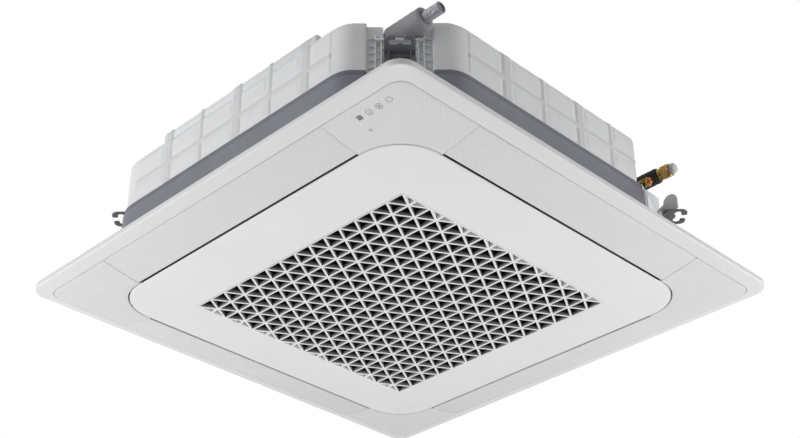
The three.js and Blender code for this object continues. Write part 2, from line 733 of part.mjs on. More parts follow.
function makeUpperShell() {
  const radial = bodyCornerRadial - shellInset + 1.5;
  const outline = slab(bodyOutline(shellHalf, radial, edgeRound, true), shellBottom, shellTop);
  const hollow = bodyOutline(shellHalf - shellWall, pocketRadial - shellWall, 0, false);
  const recessBlock = box([recessX - recessWall, bodyHalf], [recessY - recessWall, bodyHalf], [0, topZ]).intersect(outline);
  let shell = join(cut(outline, slab(hollow, shellBottom - 1, shellTop + 1)), recessBlock);
  const ribs = [0, 1, 2, 3].flatMap((side) => {
    const places = side === 1 ? ribPlaces.slice(0, 4) : ribPlaces;
    const to = side === 1 ? recessY - recessWall : 262;
    return ribGeometries(places, -262, to).map((rib) => solidOf(rib.rotateZ(side * quarter)));
  });
  shell = join(
    shell,
    ...ribs,
    box([humpFrom, humpTo], [-shellHalf, -shellHalf + humpDepth], [shellTop - 2, topZ + humpHeight]),
  );
  const sleeveRoom = sleeveRadius + 1.2;
  const pipeHole = ({ y, z, sleeve }) => rod('x', sleeve + gap, recessX - recessWall - 1, recessX + 1, [y, z], 16);
  shell = cut(
    shell,
    box([recessX, bodyHalf + 10], [recessY, bodyHalf + 10], [recessFloor, topZ + 20]),
    box([pumpX + 34, bodyHalf], [pumpY - sleeveRoom, pumpY + sleeveRoom], [drainZ - sleeveRoom, topZ]),
    pipeHole(gasPipe),
    pipeHole(liquidPipe),
  );
  const postHeight = 176;
  const postWidth = 84;
  const post = boxGeometry([pocketRadial - shellWall, pocketRadial], [-postWidth / 2, postWidth / 2], [recessFloor - 3, postHeight]);
  return join(shell, solidOf(post.rotateZ(quarter / 2)));
}

function makeTopPlate() {
  const plate = slab(bodyOutline(shellHalf - 4, pocketRadial - 2, 0, false), plateZ, topZ);
  return cut(
    plate,
    box([humpFrom - 1, humpTo + 1], [-bodyHalf, -shellHalf + humpDepth + gap], [plateZ - 1, topZ + 1]),
    box([pumpX + 34, bodyHalf], [pumpY - sleeveRadius - 2, pumpY + sleeveRadius + 2], [plateZ - 1, topZ + 1]),
    box([recessX - recessWall / 2, bodyHalf], [recessY - recessWall / 2, bodyHalf], [plateZ - 1, topZ + 1]),
  );
}

// Hanger bracket, made along +X and then turned to its corner: a flat plate with an open slot for the
// hanging rod, and a flange down the pocket's back.
function makeHanger() {
  const back = pocketRadial + gap;
  const half = hangerWidth / 2;
  const wide = slotWide / 2;
  const neck = slotNeck / 2;
  const tip = pocketRadial + hangerReach;
  const slotNear = pocketRadial + slotStart;
  const slotFar = slotNear + slotDepth;
  const outline = [
    [back, -half], [tip, -half], [tip, -neck], [slotFar, -neck], [slotFar, -wide], [slotNear, -wide],
    [slotNear, wide], [slotFar, wide], [slotFar, neck], [tip, neck], [tip, half], [back, half],
  ];
  const plate = slab(new THREE.Shape(outline.map(([x, y]) => new THREE.Vector2(x, y))), hangerZ, hangerZ + hangerSheet);
  const flange = box([back, back + hangerSheet], [-half, half], [hangerZ - hangerDrop, hangerZ + 1]);
  return join(plate, flange);
}

function makeBellMouth() {
  const curl = 46; // how far the mouth flares out
  const centreR = bellThroat + curl;
  const centreZ = panBottom + bellRise;
  const steps = 4;
  const arc = (sheet) => Array.from({ length: steps + 1 }, (_, i) => {
    const angle = (i / steps) * quarter;
    return [centreR - (curl - sheet) * Math.cos(angle), centreZ - (bellRise - sheet) * Math.sin(angle)];
  });
  const airSide = arc(0);
  const backSide = arc(bellSheet).reverse();
  return turned([
    [bellThroat, bellTop], ...airSide, [bellFlange, panBottom], [bellFlange, panBottom + bellSheet],
    ...backSide, [bellThroat + bellSheet, bellTop],
  ]);
}

function makeTurboFan() {
  const inlet = bellThroat + bellSheet + fanGap;
  const shroud = turned([
    [inlet, 98], [inlet + 2.5, 98], [inlet + 2.5, 111], [inlet + 14, 123], [fanRadius, 134], [fanRadius, 137],
    [inlet + 13, 126], [inlet, 113],
  ]);
  const bore = shaftRadius + gap;
  const back = turned([
    [bore, hubBottom], [14, hubBottom], [14, hubBottom + 10], [75, hubBottom + 10], [85, fanBack], [fanRadius, fanBack],
    [fanRadius, fanBack + fanSheet], [82.5, fanBack + fanSheet], [72.5, hubBottom + 13], [bore, hubBottom + 13],
  ]);
  const room = turned([
    [100, 127], [inlet + 7, 120], [inlet + 14, 125], [fanRadius - 1, 135.2], [fanRadius - 1, fanBack + 1.5], [100, fanBack + 1.5],
  ]);
  const bladeSteps = 5;
  const innerRadius = fanRadius - 85;
  const outerRadius = fanRadius - 5;
  const sweep = 0.55; // each blade leans back by this angle, in radians, from root to tip
  const edge = (offset) => Array.from({ length: bladeSteps + 1 }, (_, i) => {
    const t = i / bladeSteps;
    const radius = innerRadius + (outerRadius - innerRadius) * t;
    const angle = -sweep * t ** 1.3;
    return new THREE.Vector2(radius * Math.cos(angle) + offset * 0.4, radius * Math.sin(angle) + offset);
  });
  const blade = new THREE.Shape([...edge(-fanBladeThickness / 2), ...edge(fanBladeThickness / 2).reverse()]);
  const blades = Array.from({ length: fanBlades }, (_, i) => {
    const geometry = slabGeometry(blade, 110, fanBack + 1.5);
    return solidOf(geometry.rotateZ((i / fanBlades) * 4 * quarter)).intersect(room);
  });
  return join(shroud, back, ...blades);
}

const makeMotorShaft = () => turned([
  [0, hubBottom - 12], [shaftRadius - 1, hubBottom - 12], [shaftRadius - 1, hubBottom - 0.5],
  [shaftRadius, hubBottom + 0.5], [shaftRadius, motorBottom + 27.5], [0, motorBottom + 27.5],
], 12);

const makeFanNut = () => cut(
  rod('z', 10, hubBottom - 9, hubBottom - gap, [0, 0], 6),
  rod('z', shaftRadius - 1 + gap, hubBottom - 10, hubBottom + 1, [0, 0]),
);

const makeFanMotor = () => turned([
  [0, motorBottom + 28], [shaftRadius + gap, motorBottom + 28], [shaftRadius + gap, motorBottom], [motorRadius - 6, motorBottom],
  [motorRadius, motorBottom + 8], [motorRadius, motorFlangeZ - 4], [motorFlangeRadius, motorFlangeZ],
  [motorFlangeRadius, motorFlangeZ + 4], [0, motorFlangeZ + 4],
], 28);

const makeMotorMount = () => rod('z', motorMountRadius, motorFlangeZ + 4 + gap, plateZ - gap, [motorMountCircle, 0]);

function makeDrainPan() {
  const inner = bellFlange + 6;
  const corner = ductCorner - ductWall - gap;
  const outline = roundedSquare(panHalf, corner);
  outline.holes.push(circlePath(inner));
  const groove = roundedSquare(panHalf - panWall, corner - panWall);
  groove.holes.push(circlePath(inner + panWall));
  return cut(slab(outline, panBottom, panTop), slab(groove, panBottom + panFloor, panTop + 1));
}

function makeCoil() {
  const outline = roundedSquare(coilHalf, coilCorner);
  outline.holes.push(new THREE.Path(roundedSquare(coilHalf - coilDepth, coilCorner - coilDepth).getPoints(arcSteps).reverse()));
  return cut(
    slab(outline, coilBottom, coilTop),
    box([coilHalf - coilOpenX, coilHalf + 1], [liquidPipe.y - coilToHeader, coilHalf + 1], [0, topZ]),
  );
}

function makeHeader({ y, radius, header, z }) {
  const stub = radius + 2;
  return join(
    rod('z', header, panTop + 2, coilTop - 17, [headerX, y]),
    rod('x', stub, headerX, headerX + header + 3, [y, z]),
  );
}

function makePipe({ y, z, radius, header, sleeveEnd, nutLength }) {
  return rod('x', radius, headerX + header + 3 + gap, sleeveEnd + nutLength - 1, [y, z]);
}

function makeSleeve({ y, z, radius, header, sleeve, sleeveEnd }) {
  return cut(
    rod('x', sleeve, headerX + header + 5, sleeveEnd, [y, z], 16),
    rod('x', radius + gap, headerX, sleeveEnd + 1, [y, z]),
  );
}

function makeFlareNut({ y, z, radius, sleeveEnd, nut, nutLength }) {
  const start = sleeveEnd + gap;
  return cut(
    join(
      rod('x', nut / Math.cos(quarter / 3), start, start + nutLength * 0.7, [y, z], 6),
      rod('x', nut * 0.86, start + nutLength * 0.6, sleeveEnd + nutLength, [y, z]),
    ),
    rod('x', radius + gap, start - 1, start + nutLength + 1, [y, z]),
  );
}

const makePipeCap = ({ y, z, sleeveEnd, nutLength, cap, capLength }) => (
  rod('x', cap, sleeveEnd + nutLength + gap, sleeveEnd + nutLength + capLength, [y, z], 16)
);

// Arm from a place near the corner at +X, -Y to the shell's wall there.
function cornerArm(x, y, halfWidth, z) {
  const arm = boxGeometry([(x - y) / root2, pocketRadial - shellWall - gap], [-halfWidth, halfWidth], z);
  return solidOf(arm.rotateZ(-quarter / 2).translate((x + y) / 2, (x + y) / 2, 0));
}

// Drain pump with the pipe that lifts the water to the drain outlet.
function makeDrainPump() {
  const topOfPump = 150;
  const bendRadius = 25;
  const riser = drainRadius - drainWall - gap;
  const route = [new THREE.Vector3(pumpX, pumpY, topOfPump - 3), new THREE.Vector3(pumpX, pumpY, 180)];
  for (let i = 0; i <= 4; i += 1) {
    const angle = (i / 4) * quarter;
    route.push(new THREE.Vector3(
      pumpX + bendRadius * (1 - Math.cos(angle)),
      pumpY,
      drainZ - bendRadius * (1 - Math.sin(angle)),
    ));
  }
  route.push(new THREE.Vector3(pumpX + bendRadius + 20, pumpY, drainZ));
  const circle = new THREE.Shape();
  circle.absarc(0, 0, riser, 0, 4 * quarter);
  const tube = new THREE.ExtrudeGeometry(circle, {
    steps: 14,
    curveSegments: 8,
    bevelEnabled: false,
    extrudePath: new THREE.CatmullRomCurve3(route, false, 'centripetal'),
  });
  return join(
    rod('z', pumpRadius, 92, topOfPump, [pumpX, pumpY], 16),
    rod('z', 5, 64, 93, [pumpX, pumpY + 18], 10),
    cornerArm(pumpX, pumpY, 14, [141, 147]),
    solidOf(tube),
  );
}

const makeDrainPipe = () => cut(
  rod('x', drainRadius, pumpX + 36, drainEnd, [pumpY, drainZ], 16),
  rod('x', drainRadius - drainWall, pumpX + 35, drainEnd + 1, [pumpY, drainZ], 16),
);

const makeDrainSleeve = () => cut(
  rod('x', sleeveRadius, pumpX + 44, drainEnd - 35, [pumpY, drainZ], 20),
  rod('x', drainRadius + gap, pumpX + 43, drainEnd - 34, [pumpY, drainZ], 16),
);

function makeFloatSwitch() {
  return join(
    rod('z', 2.5, floatBottom - 4.3, 145, [floatX, floatY]),
    rod('z', 6, floatBottom - 4.3, floatBottom - gap, [floatX, floatY]),
    cornerArm(floatX, floatY, 6, [141, 147]),
    rod('z', 9, 100, 149, [floatX, floatY]),
  );
}

const makeFloat = () => cut(
  rod('z', floatRadius, floatBottom, floatBottom + 16, [floatX, floatY], 16),
  rod('z', 2.5 + 0.5, floatBottom - 1, floatBottom + 17, [floatX, floatY]),
);

// ---------------------------------------------------------------- finishes

const finish = (color, roughness, metalness) => ({ color, roughness, metalness });
const whiteSatin = finish(0xe4e6e8, 0.45, 0);
const whiteTextured = finish(0xd6d8da, 0.7, 0);
const shellWhite = finish(0xdfe2e4, 0.6, 0);
const trayGrey = finish(0x82858f, 0.6, 0);
const darkSteel = finish(0x3c3e42, 0.5, 0.7);
const zincSteel = finish(0xb4b8bb, 0.4, 0.8);
const blackFoam = finish(0x1c1d20, 0.95, 0);
const greyFoam = finish(0x75777b, 0.95, 0);
const brass = finish(0xa88748, 0.35, 0.9);
const copper = finish(0xb4643a, 0.35, 0.9);
const finGrey = finish(0xb9bec2, 0.45, 0.7);
const clearGrey = finish(0x9a9da2, 0.3, 0);
const blackPlastic = finish(0x26282b, 0.5, 0);
const rubberBlack = finish(0x202124, 0.9, 0);
const foamWhite = finish(0xf0f0ee, 0.9, 0);

// ---------------------------------------------------------------- the assembly

const cassette = new THREE.Group();

function add(name, solid, look, turn = 0) {
  const mesh = new THREE.Mesh(geometryOf(solid), new THREE.MeshStandardMaterial(look));
  mesh.name = name;
  mesh.rotation.z = turn;
  cassette.add(mesh);
  return mesh;
}

const sideNames = ['front', 'right', 'rear', 'left'];
const cornerNames = ['near', 'pipe', 'far', 'left'];

add('panel_frame', makePanelFrame(), whiteSatin);
const blade = makeBlade();
const bladeMotor = makeBladeMotor();
sideNames.forEach((name, side) => {
  add(`blade_${name}`, blade, whiteTextured, side * quarter);
  add(`blade_motor_${name}`, bladeMotor, blackPlastic, side * quarter);
});
const plainCover = makeCornerCover(false);
cornerNames.forEach((name, corner) => {
  add(`corner_cover_${name}`, corner === 0 ? makeCornerCover(true) : plainCover, whiteTextured, corner * quarter);
});
add('receiver_window', makeReceiverWindow(), blackPlastic);
add('grille_door', makeGrilleDoor(), whiteSatin);
add('grille_lattice', makeLattice(), whiteSatin);
add('air_filter', makeAirFilter(), blackPlastic);
for (const [name, x] of [['door_hinge_pin_1', -hingeX], ['door_hinge_pin_2', hingeX]]) {
  add(name, rod('x', hingePinRadius, x - 10, x + 10, [hingeY, hingeZ]), zincSteel);
}
const latch = makeLatch();
add('door_latch_1', latch, blackPlastic);
add('door_latch_2', latch, blackPlastic).position.x = -2 * latchX;
add('control_box', makeControlBox(), zincSteel);
add('control_box_cover', makeControlBoxCover(), zincSteel);
const screw = makePanelScrew();
cornerNames.forEach((name, corner) => {
  const place = new THREE.Vector2(screwPlace, -screwPlace).rotateAround(new THREE.Vector2(), corner * quarter);
  add(`panel_screw_${name}`, screw, zincSteel).position.set(place.x, place.y, 0);
});

add('base_tray', makeBaseTray(), trayGrey);
add('upper_shell', makeUpperShell(), shellWhite);
add('top_plate', makeTopPlate(), zincSteel);
const hanger = makeHanger();
cornerNames.forEach((name, corner) => add(`hanger_${name}`, hanger, darkSteel, (corner - 0.5) * quarter));

add('bell_mouth', makeBellMouth(), blackPlastic);
add('turbo_fan', makeTurboFan(), blackPlastic);
add('motor_shaft', makeMotorShaft(), zincSteel);
add('fan_nut', makeFanNut(), zincSteel);
add('fan_motor', makeFanMotor(), zincSteel);
const motorMount = makeMotorMount();
for (let i = 0; i < 3; i += 1) add(`motor_mount_${i + 1}`, motorMount, rubberBlack, (i / 3) * 4 * quarter);

add('drain_pan', makeDrainPan(), foamWhite);
add('heat_exchanger', makeCoil(), finGrey);
for (const [name, sizes] of [['gas', gasPipe], ['liquid', liquidPipe]]) {
  add(`${name}_header`, makeHeader(sizes), copper);
  add(`${name}_pipe`, makePipe(sizes), copper);
  add(`${name}_sleeve`, makeSleeve(sizes), blackFoam);
  add(`${name}_flare_nut`, makeFlareNut(sizes), brass);
  add(`${name}_cap`, makePipeCap(sizes), whiteSatin);
}
add('drain_pump', makeDrainPump(), shellWhite);
add('drain_pipe', makeDrainPipe(), clearGrey);
add('drain_sleeve', makeDrainSleeve(), greyFoam);
add('float_switch', makeFloatSwitch(), shellWhite);
add('float', makeFloat(), blackPlastic);

export default cassette;
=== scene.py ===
"""Looks of a four-way ceiling cassette air conditioner, built round its fixed frame.

Lengths in the mesh code are millimetres and become metres when a mesh is made. +X is the side where
the pipes leave, -Y the front, and the origin is the middle of the door's underside.
"""
import json
import math

import bmesh
import bpy
import numpy as np
from mathutils import Matrix, Vector

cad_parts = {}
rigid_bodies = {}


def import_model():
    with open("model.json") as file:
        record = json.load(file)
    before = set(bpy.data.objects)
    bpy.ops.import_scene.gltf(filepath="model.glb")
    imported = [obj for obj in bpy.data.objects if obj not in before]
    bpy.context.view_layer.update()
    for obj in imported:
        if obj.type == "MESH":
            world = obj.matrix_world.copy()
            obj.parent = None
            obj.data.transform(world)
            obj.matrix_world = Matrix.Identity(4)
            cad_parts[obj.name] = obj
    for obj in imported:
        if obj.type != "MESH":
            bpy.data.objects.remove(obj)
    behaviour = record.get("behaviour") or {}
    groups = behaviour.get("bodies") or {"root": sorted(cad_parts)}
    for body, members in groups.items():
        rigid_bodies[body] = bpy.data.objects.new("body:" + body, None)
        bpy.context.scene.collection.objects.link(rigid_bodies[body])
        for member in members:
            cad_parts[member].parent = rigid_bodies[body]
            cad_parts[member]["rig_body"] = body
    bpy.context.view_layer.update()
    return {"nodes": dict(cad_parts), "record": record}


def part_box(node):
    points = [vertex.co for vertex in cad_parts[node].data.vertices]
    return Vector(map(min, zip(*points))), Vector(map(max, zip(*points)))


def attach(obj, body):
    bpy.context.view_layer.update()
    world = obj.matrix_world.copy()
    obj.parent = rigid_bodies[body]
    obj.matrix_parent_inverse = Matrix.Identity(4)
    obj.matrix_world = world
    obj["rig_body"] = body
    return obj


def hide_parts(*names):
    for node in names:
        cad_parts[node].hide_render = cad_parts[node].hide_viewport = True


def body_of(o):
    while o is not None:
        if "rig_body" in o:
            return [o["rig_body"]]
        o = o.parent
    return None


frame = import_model()

bl_info = {
    "name": "Ceiling cassette",
    "version": (1, 0, 0),
    "blender": (4, 5, 0),
    "location": "3D View > Sidebar > Cassette",
    "description": "Four-way ceiling cassette air conditioner with its panel, body and pipes",
    "category": "Object",
}

MM = 0.001
SIDES = ("front", "right", "rear", "left")
CORNERS = ("near", "pipe", "far", "left")
QUARTERS = tuple(turn * math.pi / 2 for turn in range(4))

# Places where pieces meet, in millimetres; those of a blade and a screw are for the first of four
PANEL_TOP, TRAY_FOOT = 40.0, 40.3
HINGE_SIDES, HINGE_Y, HINGE_Z, CATCH_Y = (-200, 200), 354.0, 11.8, -346.0
BLADE_END, BLADE_AXIS = 278.5, (-381.5, 19.0)
SCREW_PLACE = (325, -325)
BAND_Z = 190.0


# ---------------------------------------------------------------- settings

def length(name, description, default):
    return bpy.props.FloatProperty(name=name, description=description, default=default, unit="LENGTH")


def angle(name, description, degrees):
    return bpy.props.FloatProperty(
        name=name, description=description, default=math.radians(degrees), subtype="ANGLE")


def colour(name, description, default):
    return bpy.props.FloatVectorProperty(
        name=name, description=description, default=default, subtype="COLOR", size=3, min=0, max=1)


class PanelSizes(bpy.types.PropertyGroup):
    width: length("Panel width", "Outer width of the square panel", 0.950)
    corner: length("Panel corner", "Radius of the panel's outer corners", 0.032)
    border: length("Border", "Plain border outside the blades and corner covers", 0.0255)
    door_width: length("Door width", "Outer width of the intake door", 0.736)
    door_corner: length("Door corner", "Radius of the door's corners", 0.082)
    dome: length("Dome", "How far the underside has come up where the border begins", 0.02314)
    dot_pitch: length("Dot pitch", "Spacing of the fine dots on blades and covers", 0.0027)


class LatticeSizes(bpy.types.PropertyGroup):
    columns: bpy.props.IntProperty(name="Columns", description="Triangles along a row", default=14, min=1)
    rows: bpy.props.IntProperty(name="Rows", description="Rows of triangles", default=16, min=1)
    pitch: length("Pitch", "Width of one triangle", 0.0372)
    row_height: length("Row height", "Height of one row", 0.0319)
    depth: length("Depth", "Depth of the lattice", 0.012)
    # Behind the lip the bars are painted near black: painted shade deep in the cells.
    lip: length("Lip", "Depth of the white front part, behind which the bars are black", 0.0078)
    bar_front: length("Bar front", "Width of a bar at the underside", 0.0038)
    bar_back: length("Bar back", "Width of a bar at the filter", 0.0048)


class BodySizes(bpy.types.PropertyGroup):
    width: length("Body width", "Outer width of the tray", 0.840)
    tray_top: length("Tray top", "Height of the joint between tray and shell", 0.146)
    shell_top: length("Shell top", "Height of the shell's upper edge", 0.2417)
    rib: length("Rib", "How far the shell's ribs stand proud", 0.002)
    pad: length("Pad", "How far the fields between the ribs stand proud", 0.0012)


class Finishes(bpy.types.PropertyGroup):
    panel: colour("Panel", "Satin white of the panel and door", (0.770, 0.775, 0.782))
    # The border's white is the panel's white made a little darker: painted shade on the sloped border.
    border: colour("Border", "White of the panel's border", (0.715, 0.720, 0.727))
    cover: colour("Cover", "Dotted white of blades and corner covers", (0.838, 0.841, 0.845))
    shell: colour("Shell", "Moulded white of the upper body", (0.790, 0.800, 0.812))
    tray: colour("Tray", "Blue-grey of the lower body", (0.172, 0.180, 0.216))
    hanger: colour("Hanger", "Dark sheet metal of the hangers", (0.180, 0.185, 0.196))
    foam: colour("Foam", "Grey pipe insulation", (0.330, 0.334, 0.350))


# ---------------------------------------------------------------- materials

class Wiring:
    """Adds nodes to a tree and links them up as they are made."""

    def __init__(self, tree):
        self.tree = tree

    def add(self, kind, inputs=None, **settings):
        node = self.tree.nodes.new(kind)
        for key, value in settings.items():
            setattr(node, key, value)
        for key, value in (inputs or {}).items():
            if isinstance(value, bpy.types.NodeSocket):
                self.tree.links.new(value, node.inputs[key])
            else:
                node.inputs[key].default_value = value
        return node

    def math(self, operation, *values):
        return self.add("ShaderNodeMath", dict(enumerate(values)), operation=operation).outputs[0]

    def times(self, *values):
        return self.math("MULTIPLY", *values)

    def less(self, *values):
        return self.math("SUBTRACT", *values)

    def axes(self, place):
        return self.add("ShaderNodeSeparateXYZ", {0: place}).outputs

    def combine(self, x=0.0, y=0.0, z=0.0):
        return self.add("ShaderNodeCombineXYZ", {0: x, 1: y, 2: z}).outputs[0]

    def noise(self, vector, scale, detail=2.0, rough=0.5):
        return self.add("ShaderNodeTexNoise", {
            "Vector": vector, "Scale": scale, "Detail": detail, "Roughness": rough}).outputs[0]

    def fit(self, value, low, high, to_low, to_high):
        return self.add("ShaderNodeMapRange", {
            0: value, 1: low, 2: high, 3: to_low, 4: to_high}, clamp=True).outputs[0]

    def mix(self, factor, a, b):
        """Mix of two colours."""
        return self.add("ShaderNodeMix", {0: factor, 6: a, 7: b}, data_type="RGBA").outputs[2]


def rgba(value, share=1.0):
    return (*[min(1.0, c * share) for c in value], 1.0)


def finish(name, base, roughness, metallic=0.0, grain=900, grain_height=0.02, cloud=6, shade=0.05,
           rough_spread=0.06, dirt=0.0, pattern=None, **sockets):
    """Material with drifting shade, fine grain in its bump, uneven roughness and perhaps a pattern.

    A pattern takes the wiring and the object coordinates and gives (mask, darker share, depth in mm).
    """
    material = bpy.data.materials.new(name)
    material.use_nodes = True
    wire = Wiring(material.node_tree)
    shader = material.node_tree.nodes["Principled BSDF"]
    place = wire.add("ShaderNodeTexCoord").outputs["Object"]
    cloudy = wire.noise(place, cloud, 3.0)
    fine = wire.noise(place, grain, 2.0, 0.6)
    paint = wire.mix(wire.fit(cloudy, 0.35, 0.65, 0, 1), rgba(base, 1 - shade), rgba(base, 1 + shade))
    paint = wire.mix(wire.fit(fine, 0.3, 0.7, 0, 0.5), paint, rgba(base, 1 - 1.4 * shade))
    if dirt:
        worn = wire.noise(place, cloud * 7, 5.0, 0.65)
        paint = wire.mix(wire.fit(worn, 0.52, 0.78, 0, dirt), paint, rgba(base, 0.45))
    height = wire.times(fine, grain_height)
    if pattern:
        mask, darker, depth = pattern(wire, place)
        paint = wire.mix(mask, paint, rgba(base, darker))
        height = wire.less(height, wire.times(mask, depth))
    bump = wire.add("ShaderNodeBump", {"Strength": 1.0, "Distance": MM, "Height": height})
    rough = wire.fit(wire.noise(place, cloud * 4, 4.0), 0.3, 0.7, max(0.02, roughness - rough_spread),
                     min(1.0, roughness + rough_spread))
    for key, value in {"Metallic": metallic, **sockets}.items():
        shader.inputs[key].default_value = value
    material.node_tree.links.new(paint, shader.inputs["Base Color"])
    material.node_tree.links.new(rough, shader.inputs["Roughness"])
    material.node_tree.links.new(bump.outputs[0], shader.inputs["Normal"])
    return material


def from_middle(wire, value, pitch, shift=0.0):
    """Signed distance from the middle of a repeat, in repeats; the count stays positive over the object."""
    count = wire.math("ADD", wire.math("DIVIDE", value, pitch), 500 + shift)
    return wire.less(wire.math("FRACT", count), 0.5)


def dots(pitch, radius, darker, depth):
    """Staggered grid of round dots on the XY plane."""
    def pattern(wire, place):
        axes = wire.axes(place)
        near = []
        for shift in (0.0, 0.5):
            off = [from_middle(wire, axes[axis], pitch, shift) for axis in (0, 1)]
            near.append(wire.math("SQRT", wire.math("ADD", *[wire.times(o, o) for o in off])))
        reach = wire.math("MINIMUM", *near)
        return wire.fit(reach, radius / pitch * 0.7, radius / pitch * 1.15, 1.0, 0.0), darker, depth
    return pattern


def lines(axis, pitch, share, darker, depth):
    """Parallel grooves that repeat along an axis."""
    def pattern(wire, place):
        off = wire.math("ABSOLUTE", from_middle(wire, wire.axes(place)[axis], pitch))
        return wire.fit(off, share * 0.3, share * 0.6, 1.0, 0.0), darker, depth
    return pattern


def net(pitch, thread, darker, depth):
    """Square net on the XY plane, whose holes are the mask."""
    def pattern(wire, place):
        off = [wire.math("ABSOLUTE", from_middle(wire, axis, pitch)) for axis in wire.axes(place)[:2]]
        holes = wire.fit(wire.math("MAXIMUM", *off), 0.5 - thread * 0.7, 0.5 - thread * 0.4, 1.0, 0.0)
        return holes, darker, depth
    return pattern


# ---------------------------------------------------------------- mesh helpers

def outline(half_x, half_y, radius, per_side=6, per_corner=12):
    """Rounded rectangle round the middle, anticlockwise from the -Y side, always with as many points."""
    points = []
    corners = ((half_x, -half_y), (half_x, half_y), (-half_x, half_y), (-half_x, -half_y))
    for turn, (x, y) in enumerate(corners):
        centre = np.array([x - math.copysign(radius, x), y - math.copysign(radius, y)])
        start = (turn - 1) * math.pi / 2
        angles = start + np.linspace(0, math.pi / 2, per_corner + 1)
        arc = centre + radius * np.stack([np.cos(angles), np.sin(angles)], 1)
        if points:
            points.extend(points[-1] + (arc[0] - points[-1]) * k / per_side for k in range(1, per_side))
        points.extend(arc)
    last, first = points[-1], points[0]
    points.extend(last + (first - last) * k / per_side for k in range(1, per_side))
    return np.array(points)


def at_height(points, z):
    points = np.asarray(points, float)
    return np.column_stack([points, np.broadcast_to(z, len(points))])


def square(half, radius, z):
    """Rounded square round the middle at a height."""
    return at_height(outline(half, half, radius), z)


def around(place, half):
    """Both ends of a length that lies round a place."""
    return place - half, place + half


def rotation(angle):
    """Matrix that turns rows of plan points anticlockwise."""
    c, s = math.cos(angle), math.sin(angle)
    return np.array([[c, s], [-s, c]])


def circle(radius, start, end, steps, centre=(0, 0)):
    """Points of an arc between two angles in radians."""
    angles = np.linspace(start, end, steps + 1)
    return np.asarray(centre) + radius * np.stack([np.cos(angles), np.sin(angles)], 1)


def span(node):
    """Lowest and highest corner of a frame node, in millimetres."""
    return [[v * 1000 for v in corner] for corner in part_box(node)]


class Dome:
    """The panel's curved underside, drawn by rounded squares that lie inside each other."""

    def __init__(self, panel):
        self.half = panel.width * 500
        self.band = self.half - panel.border * 1000
        self.door = panel.door_width * 500
        self.flat = 246.0
        self.rise = panel.dome * 1000
        self.places = (self.flat, self.door, self.band, self.half)
        self.radii = (30, panel.door_corner * 1000, 26, panel.corner * 1000)

    def corner(self, half):
        return np.interp(half, self.places, self.radii)

    def height(self, half):
        over = np.maximum(np.asarray(half, float) - self.flat, 0)
        return self.rise * (over / (self.band - self.flat)) ** 2

    def over(self, x, y):
        """Height of the underside above a point of the plan."""
        x, y = np.abs(x), np.abs(y)
        low = np.maximum(x, y)
        high = low * 1.25 + 1
        for _ in range(30):
            middle = (low + high) / 2
            radius = self.corner(middle)
            off_x, off_y = x - middle + radius, y - middle + radius
            in_corner = (off_x > 0) & (off_y > 0)
            beyond = np.where(in_corner, np.hypot(off_x, off_y) - radius, np.maximum(x, y) - middle)
            low, high = np.where(beyond > 0, middle, low), np.where(beyond > 0, high, middle)
        return self.height((low + high) / 2)

    def ring(self, half, lift=0.0):
        return at_height(outline(half, half, self.corner(half)), self.height(half) + lift)


